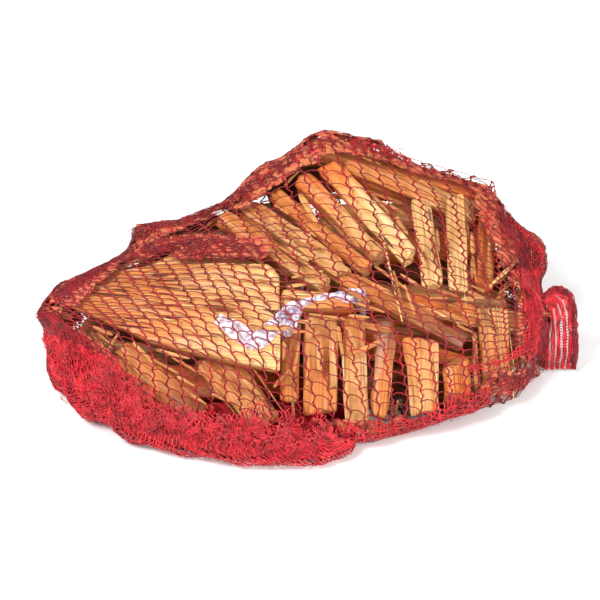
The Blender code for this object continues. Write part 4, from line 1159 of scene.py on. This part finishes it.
for _ in range(40):
    # It spans the gaps between the sticks.
    heights[1:-1] = np.maximum(heights[1:-1], (heights[2:] + heights[:-2]) / 2)
crumple = 1 - np.abs(noiseAt(stripGrid[..., 0] / 7, stripGrid[..., 1] / 7, 0.3, 6)) * 1.8
crumple = crumple + 0.35 * noiseAt(stripGrid[..., 0] / 2.6, stripGrid[..., 1] / 2.6, 0.3, 7)
heights = heights + stripLook["above"] + np.clip(crumple, 0, 1) * stripLook["crumple"]
stripPoints = np.concatenate((stripGrid, heights[..., None]), axis=2).reshape(-1, 3)
index = np.arange(len(stripPoints)).reshape(heights.shape)
stripQuads = np.stack((index[:-1, :-1], index[1:, :-1], index[1:, 1:], index[:-1, 1:]), axis=2)
stripMesh = meshFrom("plastic_strip_film", stripPoints, stripQuads.reshape(-1, 4))
stripMaterial, tree = startMaterial("clearFilm")
place = Wire.make(tree, "ShaderNodeTexCoord", out="Object")
# Near-white patches of painted glint, where the film is also less clear.
paintedGlintCloud = place.noise(230.0)
milk = Wire.make(tree, "ShaderNodeRGB")
milk.socket.default_value = (0.60, 0.53, 0.74, 1)
finishMaterial(tree, {"Base Color": milk.mixed((0.95, 0.93, 0.98, 1), paintedGlintCloud.between(0.45, 0.62)), "Roughness": 0.22,
                      "Alpha": (paintedGlintCloud.between(0.35, 0.6) * 0.45 + 0.45).clamped(), "Coat Weight": 0.4})
addPiece("plastic_strip_film", stripMesh, stripMaterial, ("plastic_strip",))

# Small slivers that fill the gaps under the net.
sliverLook = {"most": 320, "gap": 6.0, "apart": 6.5, "length": (60, 120), "width": (12, 20), "depth": (6, 10),
              "margin": 1.2,
              "sinks": (0.0, 0.4), "deepest": 45, "lowest": 7, "slitShare": 0.3,
              "shrinks": ((1, 1, 1), (0.75, 0.65, 0.75), (0.5, 0.42, 0.55), (0.32, 0.3, 0.4)),
              "slit": ((84, -66, 110), (112, -74, 95), (147, -82, 75)), "slitWide": 13}
random = np.random.default_rng(12)


class Blocks:
    # Convex pieces that nothing may cut into, each as its planes and its corners.
    def __init__(self):
        self.items, self.centres, self.radii = [], [], []

    def add(self, normals, offsets, places):
        self.items.append((normals, offsets, places))
        self.centres.append(places.mean(axis=0))
        self.radii.append(np.linalg.norm(places - places.mean(axis=0), axis=1).max())

    def clash(self, corners, axes, centre, size):
        far = np.linalg.norm(np.array(self.centres) - centre, axis=1) - np.array(self.radii)
        far = far - np.linalg.norm(size) / 2
        for k in np.flatnonzero(far < 0):
            normals, offsets, places = self.items[k]
            if ((corners @ normals.T).min(axis=0) > offsets + 0.2).any():
                continue
            spread = (places - centre) @ axes.T
            if (spread.min(axis=0) > size / 2 + 0.2).any() or (spread.max(axis=0) < -size / 2 - 0.2).any():
                continue
            return True
        return False


blocks = Blocks()
grainWays = []
for name in woodNames:
    places, planes = solidPlanes(nodes[name])
    blocks.add(np.array([plane[0] for plane in planes]), np.array([plane[1] for plane in planes]), places)
    grainWays.append(grainWay(places, planes))
stickCentres = np.array(blocks.centres)
candidates = []
slit = bandDensity(skinPlaces, {"line": sliverLook["slit"], "spread": sliverLook["slitWide"], "strength": 1})
loose = (skinPlaces[..., 2] > sliverLook["lowest"]) & ~mouth
loose &= (gapBelow > sliverLook["gap"]) & (slit < sliverLook["slitShare"])
for i, j in itertools.product(range(3, skin.longCount - 3, 2), range(0, skin.roundCount, 2)):
    if loose[i, j]:
        candidates.append((-gapBelow[i, j] + random.uniform(0, 8), gapBelow[i, j], i, j))
candidates.sort()
signs = np.array(list(itertools.product((-1, 1), repeat=3))) / 2
slivers = []


def roomFor(corners):
    # Whether a block lies under the skin: its corners and the middles between them.
    probes = np.vstack((corners, (corners[:, None] + corners[None, :]).reshape(-1, 3) / 2))
    along, around, far = skin.locate(probes)
    i = np.clip(np.floor(along).astype(int), 0, skin.longCount - 2)
    j = np.floor(around).astype(int) % skin.roundCount
    after = (j + 1) % skin.roundCount
    room = np.minimum(np.minimum(reach[i, j], reach[i + 1, j]), np.minimum(reach[i, after], reach[i + 1, after]))
    return (far < room - sliverLook["margin"]).all() and corners[:, 2].min() > 2


def findPlace(gap, i, j, anyTurn=False):
    # A free place near the skin, along the grain of a stick nearby or at any turn, for ever smaller slivers.
    normal, ray = outward[i, j], skin.rays[i, j]
    base = np.array([random.uniform(*sliverLook[key]) for key in ("length", "width", "depth")])
    spin = random.normal(0, 0.2)
    for shrink in sliverLook["shrinks"]:
        size = base * np.array(shrink)
        for sink in sliverLook["sinks"]:
            centre = heart + ray * (reach[i, j] - 2.0 - size[2] / 2 - sink * min(gap, sliverLook["deepest"]))
            nearest = np.argsort(np.linalg.norm(stickCentres - centre, axis=1))[:2]
            choices = [(nearest[0], 0.0), (nearest[1], 0.0), (nearest[0], 0.45)]
            if anyTurn:
                choices = [(nearest[0], extra) for extra in (0.8, 1.6, 2.4)]
            for stick, extra in choices:
                way = grainWays[stick] - normal * (grainWays[stick] @ normal)
                if np.linalg.norm(way) < 0.3:
                    continue
                way /= np.linalg.norm(way)
                side = np.cross(normal, way)
                turn = spin + extra
                cosine, sine = math.cos(turn), math.sin(turn)
                axes = np.array((way * cosine + side * sine, side * cosine - way * sine, normal))
                corners = centre + (signs * size) @ axes
                if roomFor(corners) and not blocks.clash(corners, axes, centre, size):
                    return size, axes, centre, corners
    return None


for anyTurn in (False, True):
    for _, gap, i, j in candidates:
        if len(slivers) >= sliverLook["most"] or anyTurn and gap < sliverLook["gap"] * 2.5:
            break
        spot = skinPlaces[i, j] - outward[i, j] * 6
        apart = sliverLook["apart"] * (1.6 if anyTurn else 1)
        if slivers and np.linalg.norm(np.array([sliver[2] for sliver in slivers]) - spot, axis=1).min() < apart:
            continue
        found = findPlace(gap, i, j, anyTurn)
        if found:
            size, axes, centre, corners = found
            offsets = np.concatenate((axes @ centre + size / 2, size / 2 - axes @ centre))
            blocks.add(np.vstack((axes, -axes)), offsets, corners)
            slivers.append(found)


class WoodMesh:
    # Gathers small pieces of wood, each a grid of rings with its grain, into one mesh.
    def __init__(self):
        self.points, self.quads, self.total = [], [], 0
        self.values = {"grain": [], "tone": [], "cut": [], "bark": []}

    def add(self, points, grain, tone, cutEnds, bark, caps):
        index = np.arange(points.shape[0] * points.shape[1]).reshape(points.shape[:2]) + self.total
        after = np.roll(index, -1, axis=1)
        self.points.append(points.reshape(-1, 3))
        self.quads += [np.stack((index[:-1], after[:-1], after[1:], index[1:]), axis=2).reshape(-1, 4)]
        self.quads += [ring[np.array(caps)] for ring in (index[0][::-1], index[-1])]
        self.total += index.size
        cut = np.zeros(index.shape)
        cut[[0, -1]] = cutEnds
        self.values["grain"].append(grain * mm)
        self.values["tone"].append(np.tile(np.append(tone, 1), (index.size, 1)))
        self.values["cut"].append(cut.ravel())
        self.values["bark"].append(np.full(index.size, bark))

    def addPiece(self, name):
        mesh = meshFrom(name, np.vstack(self.points), np.vstack(self.quads))
        setValues(mesh, **{key: np.concatenate(values) for key, values in self.values.items()})
        addPiece(name, mesh, firmWood)
        print(name, len(self.points))


sliverMesh = WoodMesh()
sliverGrid = {"rows": 14, "round": 10, "caps": ((0, 1, 2, 9), (9, 2, 3, 8), (8, 3, 4, 7), (7, 4, 5, 6))}
share = np.linspace(-0.5, 0.5, sliverGrid["rows"] + 1)[:, None]
turns = np.linspace(0, 2 * math.pi, sliverGrid["round"] + 1)[None, :-1]
# A section between a circle and a box.
boxed = [np.sign(wave) * np.abs(wave) ** 0.5 / 2 for wave in (np.cos(turns), np.sin(turns))]
for number, (size, axes, centre, corners) in enumerate(slivers):
    seed = 300 + number
    taper = (1 - 0.45 * np.abs(share * 2) ** 4) * (0.82 + 0.18 * np.sin(share * 3 + seed))
    rough = 0.84 + 0.16 * noiseAt(share * 5, turns * 1.5, 0.3, seed)
    wide, deep = (shape * extent * taper * rough for shape, extent in zip(boxed, size[1:]))
    runs = share * size[0] * (1 - 0.06 * (1 + noiseAt(turns * 2, 0.4, 0.4, seed)))
    points = centre + runs[..., None] * axes[0] + wide[..., None] * axes[1] + deep[..., None] * axes[2]
    grain = np.stack((runs.ravel() + seed * 97, wide.ravel(), deep.ravel()), axis=1)
    blend = random.uniform()
    tone = np.array(woodTones["straw"]) * blend + np.array(woodTones["tan"]) * (1 - blend)
    sliverMesh.add(points, grain, tone, 1, 0.35 if blend < 0.25 else 0.0, sliverGrid["caps"])
sliverMesh.addPiece("slivers")

# Torn fibres that lie on the split faces.
fibreLook = {"count": 420, "length": (12, 46), "wide": (0.9, 2.6), "thick": 0.7, "above": 0.25, "steps": 6,
             "lean": 0.06, "farthest": 0.02, "bow": 1.5, "lowest": 1.0}
random = np.random.default_rng(21)
fibreMesh = WoodMesh()
for number in range(fibreLook["count"]):
    i, j = random.integers(3, skin.longCount - 3), random.integers(0, skin.roundCount)
    length, wide = random.uniform(*fibreLook["length"]), random.uniform(*fibreLook["wide"])
    turn, pale = random.normal(0, fibreLook["lean"]), random.uniform()
    hit = woodTree.ray_cast(Vector(skinPlaces[i, j] * mm), Vector(-skin.rays[i, j]))
    if hit[3] is None or hit[3] > fibreLook["farthest"] or mouth[i, j]:
        continue
    name = woodNames[faceSticks[hit[2]]]
    normal, spot, way = np.array(hit[1]), np.array(hit[0]) / mm, grainWays[faceSticks[hit[2]]]
    if name.endswith("splinter") or abs(normal @ way) > 0.3 or normal @ skin.rays[i, j] < 0.3:
        continue
    way = way - normal * (way @ normal)
    way /= np.linalg.norm(way)
    side = np.cross(normal, way)
    t = np.linspace(-0.5, 0.5, fibreLook["steps"] + 1)
    sideways = math.tan(turn) * t * length + fibreLook["bow"] * (t * t - 0.1) * random.normal()
    line = spot + normal * fibreLook["above"] + way * (t * length)[:, None] + side * sideways[:, None]
    size = np.maximum(1 - np.abs(t * 2) ** 3, 0.12)
    ring = np.array(((-0.5, 0), (0, 0.5), (0.5, 0), (0, -0.5)))
    points = line[:, None] + side * (ring[:, 0] * wide * size[:, None])[..., None]
    points = points + normal * (ring[:, 1] * fibreLook["thick"] * size[:, None])[..., None]
    if points[..., 2].min() < fibreLook["lowest"]:
        continue
    inGrain = ((t * length)[:, None] + number * 71.0, ring[:, 0][None, :] * wide, 0.0)
    grain = np.stack(np.broadcast_arrays(*inGrain), axis=-1)
    tone = woodTones["cream" if pale > 0.45 else ("rust" if pale > 0.2 else "dusk")]
    fibreMesh.add(points, grain.reshape(-1, 3), tone, 0, 0.0, ((0, 1, 2, 3),))
fibreMesh.addPiece("torn_fibres")

# Floor, light and camera.
stage = {"floor": (0.93, 0.93, 0.93), "half": 3000, "level": -0.1, "world": 0.66, "keyPower": 31.0, "fillPower": 20.0}
half, level = stage["half"], stage["level"]
floorCorners = [(-half, -half, level), (half, -half, level), (half, half, level), (-half, half, level)]
floorMesh = meshFrom("floor", floorCorners, [(0, 1, 2, 3)])
floorMaterial, floorTree = startMaterial("paleFloor")
finishMaterial(floorTree, {"Base Color": (*stage["floor"], 1), "Roughness": 0.9})
floor = bpy.data.objects.new("floor", floorMesh)
bpy.context.scene.collection.objects.link(floor)
floorMesh.materials.append(floorMaterial)

# Flat sizes in metres of the netting's cuts, with the yarns' own surface, and of the film.
cuts = {
    "netting": ((0.95, 0.62), "stretched", "wide_board_wood", 0.285),
    "tangled_net": ((0.32, 0.16), "folded", "netting", None),
    "doubled_net_1": ((0.36, 0.12), "folded", "netting", 0.030),
    "doubled_net_2": ((0.30, 0.10), "folded", "netting", 0.018),
    "doubled_net_3": ((0.36, 0.10), "folded", "netting", 0.020),
    "doubled_net_4": ((0.30, 0.08), "folded", "netting", 0.013),
    "bunched_net_1": ((0.55, 0.30), "gathered", "netting", 0.093),
    "bunched_net_2": ((0.60, 0.35), "gathered", "netting", 0.117),
    "bunched_net_3": ((0.65, 0.40), "gathered", "netting", 0.150),
    "bunched_core": ((0.36, 0.15), "gathered", "netting", None),
    "loose_loops": ((0.20, 0.20), "gathered", "bunched_net_3", 0.020),
    "mouth_flap": ((0.16, 0.10), "hung", "netting", 0.009),
    "mouth_hem": ((0.11, 0.08), "folded", "mouth_flap", 0.0066),
    "plastic_strip_film": ((0.018, 0.16), "laid", "wide_board_wood", None),
}
for name, (flat, held, below, area) in cuts.items():
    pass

world = bpy.data.worlds.new("softRoom")
bpy.context.scene.world = world
world.use_nodes = True
background = world.node_tree.nodes["Background"].inputs
background["Color"].default_value = (1, 1, 1, 1)
background["Strength"].default_value = stage["world"]


def addLight(name, place, aim, size, power):
    light = bpy.data.lights.new(name, "AREA")
    light.shape = "DISK"
    light.size = size
    light.energy = power
    lamp = bpy.data.objects.new(name, light)
    lamp.location = place
    lamp.rotation_euler = (Vector(aim) - Vector(place)).to_track_quat("-Z", "Y").to_euler()
    bpy.context.scene.collection.objects.link(lamp)


addLight("keyLight", (-0.9, -0.7, 1.5), (0, 0, 0.06), 0.7, stage["keyPower"])
addLight("fillLight", (1.1, -1.0, 0.9), (0, 0, 0.06), 1.0, stage["fillPower"])

# The picture is taken as 600 pixels wide, and its middle lies a little off the camera's axis.
view = {"distance": 1.4, "rise": math.radians(36), "focalPixels": 1484.0,
        "target": np.array((0.0, 0.0, 70.0)) + designShift, "pixels": 600, "sensor": 36, "shiftPixels": (-5, 18)}
camera = bpy.data.cameras.new("camera")
camera.sensor_width = view["sensor"]
camera.lens = view["sensor"] * view["focalPixels"] / view["pixels"]
camera.shift_x, camera.shift_y = (shift / view["pixels"] for shift in view["shiftPixels"])
eye = bpy.data.objects.new("camera", camera)
target = Vector(view["target"] * mm)
eye.location = target + Vector((0, -math.cos(view["rise"]), math.sin(view["rise"]))) * view["distance"]
eye.rotation_euler = (math.pi / 2 - view["rise"], 0, 0)
bpy.context.scene.collection.objects.link(eye)
bpy.context.scene.camera = eye
bpy.context.scene.view_settings.view_transform = "Standard"
